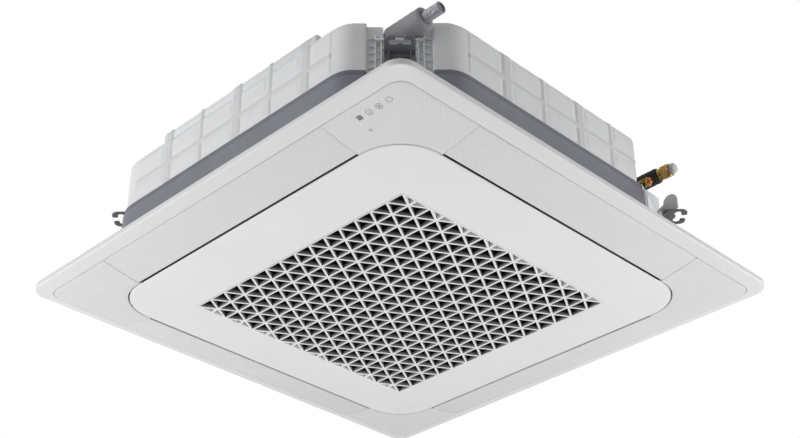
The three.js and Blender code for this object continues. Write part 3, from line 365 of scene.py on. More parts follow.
class Mould:
    """Collects closed shells, in millimetres, for one piece."""

    def __init__(self):
        self.points, self.faces = [], []

    def put(self, points, faces, turn=0.0):
        points = np.array(points, float)
        if turn:
            points[:, :2] = points[:, :2] @ rotation(turn)
        start = len(self.points)
        self.points.extend(points.tolist())
        self.faces.extend([start + i for i in face] for face in faces)
        return self

    def add(self, other, turn=0.0):
        return self.put(other.points, other.faces, turn)

    def four(self, other, first=0.0):
        """The same shells at each quarter of a turn."""
        for turn in QUARTERS:
            self.add(other, turn + first)
        return self

    def sweep(self, sections, closed=False):
        """Skin through sections of as many points each; open ends are capped."""
        sections = np.asarray(sections, float)
        count, loop = sections.shape[:2]
        faces = []
        for s in range(count if closed else count - 1):
            a, b = s * loop, ((s + 1) % count) * loop
            faces += [[a + i, a + (i + 1) % loop, b + (i + 1) % loop, b + i] for i in range(loop)]
        if not closed:
            faces += [list(range(loop)), [(count - 1) * loop + i for i in range(loop)]]
        return self.put(sections.reshape(-1, 3), faces)

    def wrap(self, rings):
        """Ring-shaped piece: its section is what the rings, of as many points each, make at each point."""
        return self.sweep(np.asarray(rings, float).transpose(1, 0, 2), closed=True)

    def lathe(self, profile, axis="z", centre=(0, 0), sides=48):
        """Turned shape from a closed profile of (radius, place along the axis)."""
        profile = np.asarray(profile, float)
        sections = []
        for angle in np.arange(sides) / sides * 2 * math.pi:
            across = centre[0] + profile[:, 0] * math.cos(angle)
            up = centre[1] + profile[:, 0] * math.sin(angle)
            along = profile[:, 1]
            order = (along, across, up) if axis == "x" else (across, up, along)
            sections.append(np.stack(order, 1))
        return self.sweep(sections, closed=True)

    def rod(self, axis, radius, start, end, centre, sides=24, edge=0.5):
        edge = min(edge, radius * 0.4, abs(end - start) * 0.4)
        step = math.copysign(edge, end - start)
        return self.lathe([(0, start), (radius - edge, start), (radius, start + step), (radius, end - step),
                           (radius - edge, end), (0, end)], axis, centre, sides)

    def block(self, x, y, z, edge=0.5):
        """Box with rounded edges."""
        mid = np.array([(x[0] + x[1]) / 2, (y[0] + y[1]) / 2])
        half = ((x[1] - x[0]) / 2, (y[1] - y[0]) / 2)
        edge = min(edge, half[0] * 0.6, half[1] * 0.6, (z[1] - z[0]) * 0.3)
        rings = []
        for inset, level in ((edge, z[0]), (edge * 0.3, z[0] + edge * 0.3), (0, z[0] + edge),
                             (0, z[1] - edge), (edge * 0.3, z[1] - edge * 0.3), (edge, z[1])):
            shape = outline(half[0] - inset, half[1] - inset, edge, 1, 2)
            rings.append(at_height(shape + mid, level))
        return self.sweep(rings)

    def prism(self, points, low, high):
        return self.sweep([at_height(points, low), at_height(points, high)])

    def make(self, name, material, bevel=0.0, angle=32, carve=None):
        """The piece as a plain mesh in metres, cut by another mould's shells and with its edges rounded."""
        obj = self.object(name)
        obj.data.materials.append(material)
        if carve is not None:
            cutter = carve.object(name + "_cutter")
            cutter.data.materials.append(material)
            knife = obj.modifiers.new("Carve", "BOOLEAN")
            knife.object, knife.operation, knife.solver = cutter, "DIFFERENCE", "EXACT"
            knife.use_self = True
            flatten(obj)
            bpy.data.objects.remove(cutter)
        if bevel:
            rounding = obj.modifiers.new("Edges", "BEVEL")
            rounding.width, rounding.segments = bevel * MM, 2
            rounding.limit_method, rounding.angle_limit = "ANGLE", math.radians(40)
            rounding.use_clamp_overlap = True
            flatten(obj)
        smooth(obj, angle)
        return obj

    def object(self, name):
        mesh = bpy.data.meshes.new(name)
        mesh.from_pydata((np.array(self.points) * MM).tolist(), [], self.faces)
        work = bmesh.new()
        work.from_mesh(mesh)
        bmesh.ops.remove_doubles(work, verts=work.verts, dist=1e-6)
        bmesh.ops.recalc_face_normals(work, faces=work.faces)
        work.to_mesh(mesh)
        work.free()
        return linked(name, mesh)


def linked(name, data):
    obj = bpy.data.objects.new(name, data)
    bpy.context.scene.collection.objects.link(obj)
    return obj


def flatten(obj):
    """Turns what the modifiers give into the object's own mesh, and takes them off."""
    depsgraph = bpy.context.evaluated_depsgraph_get()
    mesh = bpy.data.meshes.new_from_object(obj.evaluated_get(depsgraph), depsgraph=depsgraph)
    obj.modifiers.clear()
    obj.data = mesh


def smooth(obj, angle=32):
    obj.data.shade_smooth()
    obj.data.set_sharp_from_angle(angle=math.radians(angle))


def join(name, *objects):
    """One object of several."""
    work = bmesh.new()
    for obj in objects:
        work.from_mesh(obj.data)
    mesh = bpy.data.meshes.new(name)
    work.to_mesh(mesh)
    work.free()
    for material in objects[0].data.materials:
        mesh.materials.append(material)
    for obj in objects:
        bpy.data.objects.remove(obj)
    return linked(name, mesh)


def settle(piece, body, slot, *stands_for):
    """Puts a finished piece on its body, in place of the frame's plain nodes."""
    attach(piece, body)
    if stands_for:
        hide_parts(*stands_for)
    return piece


class Growth:
    """A Geometry Nodes tree with named inputs, which makes what repeats."""

    KINDS = {float: "NodeSocketFloat", int: "NodeSocketInt", bpy.types.Material: "NodeSocketMaterial"}

    def __init__(self, name, **values):
        self.values = values
        self.tree = bpy.data.node_groups.new(name, "GeometryNodeTree")
        face = self.tree.interface
        self.sockets = {}
        for key, value in values.items():
            kind = next(k for t, k in self.KINDS.items() if isinstance(value, t))
            self.sockets[key] = face.new_socket(key, in_out="INPUT", socket_type=kind)
        face.new_socket("Geometry", in_out="OUTPUT", socket_type="NodeSocketGeometry")
        self.wire = Wiring(self.tree)
        self.given = self.wire.add("NodeGroupInput").outputs

    def __getitem__(self, key):
        return self.given[key]

    def scatter(self, thing, count, x, y, z, turn):
        """Copies of a thing at as many places, which may depend on the index, each turned about Z."""
        wire = self.wire
        spots = wire.add("GeometryNodePoints", {"Count": count, "Position": wire.combine(x, y, z)}).outputs[0]
        return wire.add("GeometryNodeInstanceOnPoints", {
            "Points": spots, "Instance": thing, "Rotation": wire.combine(z=turn)}).outputs[0]

    def finish(self, name, geometry):
        wire = self.wire
        real = wire.add("GeometryNodeRealizeInstances", {0: geometry}).outputs[0]
        merged = wire.add("GeometryNodeMergeByDistance", {"Geometry": real, "Distance": 1e-6}).outputs[0]
        painted = wire.add("GeometryNodeSetMaterial", {
            "Geometry": merged, "Material": self["Material"]}).outputs[0]
        wire.add("NodeGroupOutput", {0: painted})
        obj = linked(name, bpy.data.meshes.new(name))
        grown = obj.modifiers.new("Growth", "NODES")
        grown.node_group = self.tree
        for key, socket in self.sockets.items():
            grown[socket.identifier] = self.values[key]
        flatten(obj)
        return obj


# ---------------------------------------------------------------- the panel

def underside_section(points, dome, edge=0.9, thickness=4.0):
    """Closed section of a curved skin: underside with softened edges one way, its back the other way."""
    points = np.asarray(points, float)
    steps = np.concatenate([[0], np.cumsum(np.hypot(*np.diff(points, axis=0).T))])
    start, end = [0, 0.3 * edge, edge], [steps[-1] - edge, steps[-1] - 0.3 * edge, steps[-1]]
    places = np.concatenate([start, np.linspace(edge, steps[-1] - edge, 14)[1:-1], end])
    plan = np.stack([np.interp(places, steps, points[:, k]) for k in (0, 1)], 1)
    lift = np.zeros(len(places))
    lift[[0, -1]], lift[[1, -2]] = edge, edge * 0.25
    level = dome.over(plan[:, 0], plan[:, 1])
    under = np.column_stack([plan, level + lift])
    if thickness is None:
        return under
    back = np.column_stack([plan, level + thickness - lift * 0.5])[::-1]
    return np.concatenate([under, back])


def rib_on_dome(dome, start, end, top, thickness=1.6):
    """Upright rib between two places of the plan, from just inside a skin up to a height."""
    start, end = np.array(start, float), np.array(end, float)
    along = (end - start) / np.hypot(*(end - start))
    across = np.array([-along[1], along[0]]) * thickness / 2
    sections = []
    for place in np.linspace(start, end, 9):
        low = float(dome.over(*place)) + 1.6
        one, other = place + across, place - across
        sections.append([[*one, low], [*other, low], [*other, top], [*one, top]])
    return Mould().sweep(sections)


def panel_finish(name, base, roughness, **settings):
    """One of the panel's satin whites."""
    return finish(name, base, roughness, shade=0.012, **{"grain": 1600, "grain_height": 0.01, **settings})


def painted_gap_shade(level, near, far, top=0.2):
    """Mask of painted shade on the gap's sides beside the blades: between two heights and two distances from
    the middle, painted near black in place of the shade in the gap.
    """
    soft = 0.0002

    def pattern(wire, place):
        axes = wire.axes(place)
        across = [wire.math("ABSOLUTE", axes[k]) for k in (0, 1)]
        reach = wire.math("MAXIMUM", *across)
        mask = wire.fit(axes[2], level - 2 * soft, level + 2 * soft, 0.0, 1.0)
        mask = wire.times(mask, wire.fit(axes[2], top, top + soft, 1.0, 0.0))
        mask = wire.times(mask, wire.fit(reach, far, far + soft, 1.0, 0.0))
        if near:
            mask = wire.times(mask, wire.fit(reach, near - soft, near, 0.0, 1.0))
        end = BLADE_END * MM
        by_blade = wire.fit(wire.math("MINIMUM", *across), end - 0.002, end + 0.001, 1.0, 0.0)
        # The gap's sides are painted near black: painted shade.
        return wire.times(mask, by_blade), 0.04, 0.0
    return pattern


class CASSETTE_OT_panel_frame(bpy.types.Operator):
    """Curved border with softened edges, the slotted plate above it, and the lugs for blades and door"""
    bl_idname = "cassette.panel_frame"
    bl_label = "Panel frame"

    def execute(self, context):
        dome = Dome(context.scene.cassette_panel)
        # The border plate's underside and the sides of the gap by the blades are painted near black: painted
        # shade.
        material = panel_finish("panel_white", context.scene.cassette_finishes.border, 0.38, grain=1500,
                                grain_height=0.012, pattern=painted_gap_shade(0.0272, 0.0, 0.4494, 0.0285))
        plate_low, over = 28.0, 50
        inner, outer = dome.band + 0.4, dome.half
        radius, edge = dome.corner(dome.band) + 0.4, dome.corner(outer)
        rings = [square(inner, radius, plate_low), square(inner, radius, dome.height(inner) + 0.9),
                 dome.ring(inner + 0.3, 0.25), dome.ring(inner + 1.0)]
        rings += [dome.ring(half) for half in np.linspace(inner + 5, outer - 2.6, 6)]
        rings += [dome.ring(outer - 1.2, 0.12), dome.ring(outer - 0.35, 0.65)]
        rings += [square(outer - inset, edge, z) for inset, z in (
            (0, dome.height(outer) + 1.7), (0, PANEL_TOP - 1.1), (0.4, PANEL_TOP - 0.3), (1.2, PANEL_TOP))]
        rings += [square(428, 60, PANEL_TOP), square(428, 60, PANEL_TOP - 0.5)]
        rings += [square(half, 50, z) for half, z in (
            (333.6, PANEL_TOP - 0.5), (333, PANEL_TOP - 1.1), (333, plate_low + 0.6), (333.6, plate_low))]
        plate = Mould().wrap(rings)
        slot = Mould().block((-262, 262), (-436, -380), (20, over), 3)
        slot.block((288, 306), (-399.5, -374.5), (20, over), 1).rod("z", 3.4, 20, over, SCREW_PLACE, 20)
        for x in (-289, 279.4):
            slot.rod("x", 2.5, x, x + 9.6, BLADE_AXIS, 20)
        lugs = Mould()
        for x in ((280.5, 288), (-288, -280.5)):
            lugs.block(x, (-387.5, -376.5), (14.2, 30), 1.2)
        plate.four(lugs.block((-262, 262), (-378.8, -377.4), (24, 30), 0.4))
        cutters = Mould().four(slot)
        for x in HINGE_SIDES:
            plate.block(around(x, 4), around(HINGE_Y, 2.5), (9.3, 30), 1.5)
            cutters.rod("x", 1.45, x - 5, x + 5, (HINGE_Y, HINGE_Z), 20)
            cutters.rod("z", 6, 20, over, (x, CATCH_Y), 24)
        piece = plate.make("panel_frame_moulded", material, carve=cutters)
        settle(piece, "unit", "panel_white", "panel_frame")
        return {"FINISHED"}


def dotted_white(context):
    """White plastic with a staggered grid of fine dots, made once."""
    known = bpy.data.materials.get("dotted_white")
    if known:
        return known
    pitch = context.scene.cassette_panel.dot_pitch
    return panel_finish("dotted_white", context.scene.cassette_finishes.cover, 0.45, grain=1500,
                        pattern=dots(pitch, pitch * 0.3, 0.72, 0.25))


class CASSETTE_OT_blades(bpy.types.Operator):
    """Four air blades: dotted curved skin, ribs behind it, bosses and pins"""
    bl_idname = "cassette.blades"
    bl_label = "Air blades"

    def execute(self, context):
        dome = Dome(context.scene.cassette_panel)
        material = dotted_white(context)
        blade = self.skin(dome)
        blade.block((-262, 262), (-412.8, -409.8), (16.8, 25.8), 0.5)
        for x in np.linspace(-240, 240, 9):
            blade.add(rib_on_dome(dome, (x, -430), (x, -391), 23.5))
        axle, level = BLADE_AXIS
        arm = BLADE_END - 12
        for ends in ((-BLADE_END, -arm), (arm, BLADE_END)):
            blade.block(ends, around(axle, 4.5), (12, 22), 1.5).rod("x", 4.5, *ends, (axle, level), 24, 0.6)
        for start, end in ((arm, 293.8), (-287.7, -arm)):
            blade.rod("x", 2.25, start, end, (axle, level), 20)
        for turn, side in enumerate(SIDES):
            piece = Mould().add(blade, QUARTERS[turn]).make("blade_%s_moulded" % side, material)
            settle(piece, "%s_blade" % side, "blade_white", "blade_%s" % side)
        return {"FINISHED"}

    def skin(self, dome):
        """The curved skin, whose section draws in a little over both ends to soften them."""
        inner, outer, end = dome.door + 5.5, dome.band - 0.4, BLADE_END
        section = underside_section([(0, -inner), (0, -outer)], dome)
        from_middle_line = section.mean(0)[1] - section[:, 1]
        stations = []
        for x, squeeze in ((-end, 0.9), (-end + 0.25, 0.25), (-end + 0.9, 0),
                           (end - 0.9, 0), (end - 0.25, 0.25), (end, 0.9)):
            shape = section.copy()
            shape[:, 0] = x
            shape[:, 1] += np.sign(from_middle_line) * squeeze * (np.abs(from_middle_line) > 34)
            shape[:, 2] += np.where(np.arange(len(shape)) < len(shape) // 2, squeeze, -squeeze * 0.5)
            stations.append(shape)
        return Mould().sweep(stations)


def cover_mould(dome):
    """Corner cover of the near corner: a hollow tray between the door's corner and the border."""
    start, top = 279.3, 27.7
    door_edge, band = dome.door + 2.7, dome.band - 0.4
    middle, radius = dome.door - dome.corner(dome.door), dome.corner(dome.band) - 0.4
    arc = circle(door_edge - middle, -math.pi / 2, 0, 46, (middle, -middle))
    near_door = np.vstack([[start, -door_edge], arc, [door_edge, -start]])
    bend = circle(radius, -math.pi / 2, 0, 16, (band - radius, radius - band))
    run = np.array([(x, -band) for x in np.linspace(start, band - radius, 17)[:16]])
    far = np.vstack([run, bend, -run[::-1, ::-1]])
    sections = []
    for near, outer in zip(near_door, far):
        under = underside_section([near, outer], dome, edge=0.8, thickness=None)
        away = (outer - near) / np.hypot(*(outer - near))
        inside = np.array([outer - 2 * away + (near - outer + 4 * away) * t for t in np.linspace(0, 1, 8)])
        skin = np.column_stack([inside, dome.over(inside[:, 0], inside[:, 1]) + 2.2])
        ends = [*inside[0], top], [*inside[-1], top]
        sections.append(np.vstack([[*near, top], under, [*outer, top], ends[0], skin, ends[1]]))
    return Mould().sweep(sections)


class CASSETTE_OT_corner_covers(bpy.types.Operator):
    """Four dotted corner covers, and the receiver window and signs on the near one"""
    bl_idname = "cassette.corner_covers"
    bl_label = "Corner covers"

    def execute(self, context):
        dome = Dome(context.scene.cassette_panel)
        material = dotted_white(context)
        cover = cover_mould(dome)
        x, y = 341.5, -427.0
        hole = Mould().block(around(x, 4.8), around(y, 4.8), (0, 40), 0.6)
        for turn, corner in enumerate(CORNERS):
            piece = Mould().add(cover, QUARTERS[turn]).make(
                "corner_cover_%s_moulded" % corner, material, carve=None if turn else hole)
            settle(piece, "unit", "panel_white", "corner_cover_%s" % corner)
        grey = finish("window_grey", (0.23, 0.235, 0.245), 0.16, grain=2500, grain_height=0.003, shade=0.03,
                      **{"Coat Weight": 0.6, "Coat Roughness": 0.08})
        low = float(dome.over(x, y))
        window = Mould().block(around(x, 4.5), around(y, 4.5), (low + 0.35, low + 3.4), 0.8)
        settle(window.make("receiver_window_moulded", grey), "unit", "window_grey", "receiver_window")
        self.signs(dome, y)
        return {"FINISHED"}

    def signs(self, dome, y):
        """Three round signs, a clock, an air grid and a switch, and the small service point below them."""
        ink = finish("sign_grey", (0.24, 0.245, 0.255), 0.5, grain=3000, grain_height=0.004, shade=0.05)
        marks = Mould()

        def ribbon(x, y, points, width=1.05):
            points = np.asarray(points, float) + (x, y)
            sections = []
            for i, point in enumerate(points):
                along = points[min(i + 1, len(points) - 1)] - points[max(i - 1, 0)]
                along /= np.hypot(*along)
                across = np.array([-along[1], along[0]]) * width / 2
                plan = (point + across, point - across)
                level = [float(dome.over(*place)) for place in plan]
                sections.append([[*plan[0], level[0] - 0.12], [*plan[1], level[1] - 0.12],
                                 [*plan[1], level[1] + 0.2], [*plan[0], level[0] + 0.2]])
            marks.sweep(sections)

        def arc(radius, start=0, end=352):
            return circle(radius, math.radians(start), math.radians(end), 24)

        clock, grid, switch = 361.5, 382.5, 404
        for points in (arc(5.2), [(0, 0), (0, 3.4)], [(0, 0), (2.6, 0)]):
            ribbon(clock, y, points)
        ribbon(grid, y, arc(5.2))
        for offset in (-1.7, 0, 1.7):
            ribbon(grid, y, [(offset, -2.6), (offset, 2.6)], 0.7)
            ribbon(grid, y, [(-2.6, offset), (2.6, offset)], 0.7)
        ribbon(switch, y, arc(5.2, 118, 422))
        ribbon(switch, y, [(0, 1.2), (0, 5.4)])
        ribbon(336, -399, arc(2.3), 1.1)
        settle(marks.make("panel_signs", ink), "unit", "window_grey")


class CASSETTE_OT_door(bpy.types.Operator):
    """Intake door: domed skin with a rounded rim, a step for the lattice, hinge knuckles and catch guides"""
    bl_idname = "cassette.door"
    bl_label = "Intake door"

    def execute(self, context):
        dome = Dome(context.scene.cassette_panel)
        lattice = context.scene.cassette_lattice
        # The door's rim inside the gap by the blades is painted near black: painted shade.
        material = panel_finish("door_white", context.scene.cassette_finishes.panel, 0.36,
                                pattern=painted_gap_shade(0.0105, 0.3665, 1.0))
        door = self.skin(dome, lattice.columns * lattice.pitch * 500 + 0.3,
                         lattice.rows * lattice.row_height * 500 + 0.3)
        guide = [(4.3, 7.2), (7.6, 7.2), (8, 7.6), (8, 18.4), (7.4, 19), (4.8, 19), (4.3, 18.6)]
        for x in HINGE_SIDES:
            door.block(around(x, 12), around(HINGE_Y, 4.5), (7.8, 16.2), 1.2).lathe(guide, "z", (x, CATCH_Y))
        for sign in (-1, 1):
            for place in np.linspace(-210, 210, 8):
                door.add(rib_on_dome(dome, (place, sign * 266), (place, sign * 340), 11))
                if abs(place) < 200:
                    door.add(rib_on_dome(dome, (sign * 269, place), (sign * 340, place), 11))
        room = Mould()
        for x in HINGE_SIDES:
            room.block(around(x, 5.5), (346, 369.5), (8.6, 30), 0.3)
            room.rod("x", 1.5, x - 10.5, x + 10.5, (HINGE_Y, HINGE_Z), 20)
        piece = door.make("grille_door_moulded", material, carve=room)
        settle(piece, "intake_door", "panel_white", "grille_door")
        return {"FINISHED"}

    def skin(self, dome, hole_x, hole_y):
        """The skin, from the rim's top edge over the underside and the step round the opening and back."""
        edge, radius = dome.door, dome.corner(dome.door)
        low = float(dome.height(edge))

        def wall(inset, z):
            return square(edge - inset, radius - inset, z)

        def step(grow, z, corner=1.5):
            return at_height(outline(hole_x + grow, hole_y + grow, corner), z)

        rings = [wall(2.5, 14.6), wall(2.1, 15), wall(0.5, 15), wall(0, 14.5)]
        rings += [wall(inset, low + z) for inset, z in ((0, 2.6), (0.25, 1.3), (1.0, 0.35), (2.2, -0.15))]
        rings += [dome.ring(edge - 4), dome.ring(edge - 9)]
        rings += [dome.ring(half) for half in np.linspace(edge - 20, 285, 8)]
        rings += [dome.ring(276), step(6, 0.12, 6), step(1.3, 0.03, 2), step(0.4, 0.25, 1.6)]
        rings += [step(grow, z) for grow, z in (
            (0, 1.0), (0, 3.0), (3, 3.0), (3, 17.6), (3.4, 18), (6.6, 18), (7, 17.6), (7, 4.2))]
        rings += [dome.ring(half, 3) for half in np.linspace(290, edge - 12, 5)]
        rings += [wall(5, low + 2.8), wall(2.5, low + 4)]
        return Mould().wrap(rings)


def painted_depth_shade(lip):
    """Mask of painted shade that grows with the depth of a cell: its walls are painted darker behind their
    front edges, in place of the shade deep in the cell.
    """
    def pattern(wire, place):
        z = wire.axes(place)[2]
        mask = wire.math("ADD", wire.fit(z, 0.0001, 0.0004, 0.0, 0.5), wire.fit(z, 0.0004, lip, 0.0, 0.5))
        return mask, 0.02, 0.0
    return pattern


class CASSETTE_OT_lattice(bpy.types.Operator):
    """Triangular lattice of the door: rows of tapered three-sided cells, set out by a Geometry Nodes tree"""
    bl_idname = "cassette.lattice"
    bl_label = "Lattice"

    def execute(self, context):
        size = context.scene.cassette_lattice
        # The cell walls are painted darker with depth: painted shade.
        white = panel_finish("lattice_white", context.scene.cassette_finishes.panel, 0.4,
                             pattern=painted_depth_shade(size.lip))
        growth = Growth("Triangular lattice", Columns=size.columns, Rows=size.rows, Pitch=size.pitch,
                        Material=white, Depth=size.depth, Lip=size.lip, **{
                            "Row Height": size.row_height, "Bar Front": size.bar_front,
                            "Bar Back": size.bar_back})
        wire, pitch, height = growth.wire, growth["Pitch"], growth["Row Height"]
        per_row = wire.less(wire.times(growth["Columns"], 2.0), 1.0)
        index = wire.add("GeometryNodeInputIndex").outputs[0]
        row = wire.math("FLOOR", wire.math("DIVIDE", wire.math("ADD", index, 0.5), per_row))
        along = wire.less(index, wire.times(row, per_row))
        flipped = wire.math("MODULO", wire.math("ADD", row, along), 2.0)
        x = wire.less(wire.math("ADD", along, 1.0), growth["Columns"])
        third = wire.math("ADD", wire.math("DIVIDE", flipped, 3.0), 1 / 3)
        y = wire.less(wire.math("ADD", row, third), wire.math("DIVIDE", growth["Rows"], 2.0))
        placed = growth.scatter(
            self.cell(growth, pitch, height), wire.times(per_row, growth["Rows"]),
            wire.times(x, wire.math("DIVIDE", pitch, 2.0)), wire.times(y, height), 0.0,
            wire.times(flipped, math.pi))
        cells = growth.finish("lattice_cells", placed)
        piece = join("grille_lattice_moulded", cells, self.end_cells(size).object("lattice_ends"))
        self.close(piece, size)
        smooth(piece, 20)
        settle(piece, "intake_door", "panel_white", "grille_lattice")
        return {"FINISHED"}

    def cell(self, growth, pitch, height):
        """Walls of one cell, from its front edge past the lip to its back edge, in the row's height."""
        wire = growth.wire
        reach = wire.math("DIVIDE", pitch, math.sqrt(3))
        front, back = wire.less(reach, growth["Bar Front"]), wire.less(reach, growth["Bar Back"])
        flat = 1e-9

        def moved(thing, **inputs):
            return wire.add("GeometryNodeTransform", {"Geometry": thing, **inputs}).outputs[0]

        def band(low_radius, high_radius, low, depth):
            ring = wire.add("GeometryNodeMeshCone", {
                "Vertices": 3, "Radius Bottom": low_radius, "Radius Top": high_radius, "Depth": depth},
                fill_type="NONE")
            return moved(ring.outputs[0], Translation=wire.combine(z=low))

        cell = wire.add("GeometryNodeJoinGeometry")
        rest = wire.less(growth["Depth"], growth["Lip"])
        for part in (band(reach, front, 0.0, flat), band(front, back, 0.0, growth["Lip"]),
                     band(back, back, growth["Lip"], rest), band(back, reach, growth["Depth"], flat)):
            growth.tree.links.new(part, cell.inputs[0])
        squash = wire.math("DIVIDE", height, wire.times(reach, 1.5))
        upright = moved(cell.outputs[0], Rotation=(0, 0, math.pi / 2))
        return moved(upright, Scale=wire.combine(1.0, squash, 1.0))

    def end_cells(self, size):
        """Half cells at both ends of each row, open shells like the others."""
        half_x, half_y = size.columns * size.pitch * 500, size.rows * size.row_height * 500
        step, height = size.pitch * 500, size.row_height * 1000
        walls = ((0, 0), (size.bar_front, 0), (size.bar_back, size.lip), (size.bar_back, size.depth),
                 (0, size.depth))
        faces = [[first + i, first + (i + 1) % 3, first + 3 + (i + 1) % 3, first + 3 + i]
                 for first in (0, 3, 6, 9) for i in range(3)]
        mould = Mould()
        for row in range(size.rows):
            low = -half_y + row * height
            base, tip = (low, low + height) if row % 2 else (low + height, low)
            for sign in (-1, 1):
                corners = np.array([(half_x, base), (half_x - step, base), (half_x, tip)]) * (sign, 1)
                lengths = np.hypot(*(np.roll(corners, -1, 0) - np.roll(corners, -2, 0)).T)
                centre = lengths @ corners / lengths.sum()
                inradius = step * height / lengths.sum()
                mould.put(np.concatenate([
                    at_height(centre + (corners - centre) * (1 - bar * 500 / inradius), z * 1000)
                    for bar, z in walls]), faces)
        return mould

    def close(self, piece, size):
        """Joins the front edge to the back one round the flange that rests on the door's step."""
        work = bmesh.new()
        work.from_mesh(piece.data)
        bmesh.ops.remove_doubles(work, verts=work.verts, dist=2e-5)
        halves = size.columns * size.pitch / 2, size.rows * size.row_height / 2
        edge = [e for e in work.edges if e.is_boundary and all(v.co.z < 1e-5 for v in e.verts)]
        for lift, grow in ((0.0033, 0), (0.0033, 0.003), (size.depth, 0.003), (size.depth, 0)):
            made = bmesh.ops.extrude_edge_only(work, edges=edge)["geom"]
            edge = [g for g in made if isinstance(g, bmesh.types.BMEdge) and g.is_boundary]
            for vertex in {v for e in edge for v in e.verts}:
                vertex.co.z = lift
                for axis, half in enumerate(halves):
                    if abs(vertex.co[axis]) > half - 1e-4:
                        vertex.co[axis] = math.copysign(half + grow, vertex.co[axis])
        bmesh.ops.remove_doubles(work, verts=work.verts, dist=2e-5)
        bmesh.ops.recalc_face_normals(work, faces=work.faces)
        work.to_mesh(piece.data)
        work.free()


class CASSETTE_OT_filter(bpy.types.Operator):
    """Air filter behind the lattice: moulded frame with bars, and a fine dark net"""
    bl_idname = "cassette.filter"
    bl_label = "Air filter"

    def execute(self, context):
        half_x, half_y, low = 263.4, 258.2, 12.3
        dark = finish("filter_black", (0.016, 0.017, 0.019), 0.55, shade=0.1,
                      pattern=net(0.0016, 0.32, 0.25, 0.25))
        mould = Mould().wrap([
            at_height(outline(half_x - inset, half_y - inset, max(0.6, 4 - inset), 1, 3), low + z)
            for inset, z in (
                (0, 0.6), (0.5, 0), (9.5, 0), (10, 0.6), (10, 4.4), (9.5, 5), (0.5, 5), (0, 4.4))])
        long_x, long_y = around(0, half_x - 9), around(0, half_y - 9)
        for sign in (-1, 1):
            x, y = sign * (half_x - 10) / 3, sign * (half_y - 10) / 3
            mould.block(around(x, 2), long_y, (low + 0.1, low + 4.8), 0.6)
            mould.block(long_x, around(y, 2), (low + 0.1, low + 4.8), 0.6)
        mould.block(long_x, long_y, (low + 0.2, low + 0.9), 0.1)
        settle(mould.make("air_filter_net", dark), "intake_door", "filter_dark", "air_filter")
        return {"FINISHED"}


# ---------------------------------------------------------------- the body

def curve(start, control, end):
    """Quadratic curve between two points."""
    t = np.linspace(0, 1, 15)[:, None]
    return (1 - t) ** 2 * start + 2 * t * (1 - t) * control + t ** 2 * end


def body_outline(half, corner_radial, bend, pocket=None, step=3.0):
    """Square with cut-off, well rounded corners, and perhaps a pocket (half width, radial place) in each.

    Gives the plan points anticlockwise from the middle of the -Y side, and for each its outward direction.
    """
    run = corner_radial * math.sqrt(2) - half
    corner_a, corner_b = np.array([run, -half]), np.array([half, -run])
    along = (corner_b - corner_a) / np.hypot(*(corner_b - corner_a))
    middle = (corner_a + corner_b) / 2
    inward = np.array([-along[1], along[0]])
    reach = along * bend * 0.62
    turns = [[middle]]
    if pocket:
        half_width, radial = pocket
        depth = inward * (corner_radial - radial)
        left, right = middle - along * half_width, middle + along * half_width
        turns = [curve(left - along * 5, left, left + inward * 5), [left + depth, right + depth],
                 curve(right + inward * 5, right, right + along * 5)]
    quarter = np.vstack([[[0, -half]], curve(corner_a - [bend, 0], corner_a, corner_a + reach), *turns,
                         curve(corner_b - reach, corner_b, corner_b + [0, bend]), [[half, 0]]])
    points = np.vstack([quarter @ rotation(turn) for turn in QUARTERS])
    points = points[np.hypot(*(points - np.roll(points, 1, 0)).T) > 0.02]
    fine = []
    for start, end in zip(points, np.roll(points, -1, 0)):
        count = max(1, int(math.ceil(np.hypot(*(end - start)) / step)))
        fine.extend(start + (end - start) * k / count for k in range(count))
    fine = np.array(fine)
    tangent = np.roll(fine, -1, 0) - np.roll(fine, 1, 0)
    tangent /= np.maximum(np.hypot(*tangent.T)[:, None], 1e-9)
    return fine, np.stack([tangent[:, 1], -tangent[:, 0]], 1)


def ramp(value, low, high):
    t = np.clip((value - low) / (high - low), 0, 1)
    return t * t * (3 - 2 * t)


# Outline of the pipe recess, and the shell's ribs as (place along the side, width)
PIPE_CUT = np.array([(440, 183), (417, 183), (364, 320.5), (400, 356.5), (440, 440)])
RIBS = ((-166, 22), (-74, 10), (23, 22), (108, 10), (196, 22))


def shell_relief(side_place, z, size, low, top, places):
    """How far the shell stands out at a place along a side: ribs highest, then the fields between them."""
    off_line = np.abs(z - BAND_Z)
    rib, groove = np.zeros_like(side_place), np.zeros_like(side_place)
    field = ramp(z, low + 6, low + 10) * (1 - ramp(z, top - 9, top - 5)) * (1 - ramp(off_line, 9, 5.5))
    for middle, width in places:
        off = np.abs(side_place - middle)
        rib = np.maximum(rib, 1 - ramp(off, width / 2 - 2.6, width / 2 + 1.4))
        if width > 12:
            groove = np.maximum(groove, 1 - ramp(off, 1.2, 2.6))
        field = field * ramp(off, width / 2 + 2.5, width / 2 + 6)
    level = 1 - ramp(off_line, 3.6, 6.2)
    ends = 1 - ramp(np.abs(side_place), 258, 266)
    proud = np.maximum(rib - 0.2 * groove, level)
    proud *= ramp(z, low + 1, low + 4) * (1 - ramp(z, top - 2, top + 1))
    return ends * (size.rib * 1000 * proud + size.pad * 1000 * field * (1 - proud))


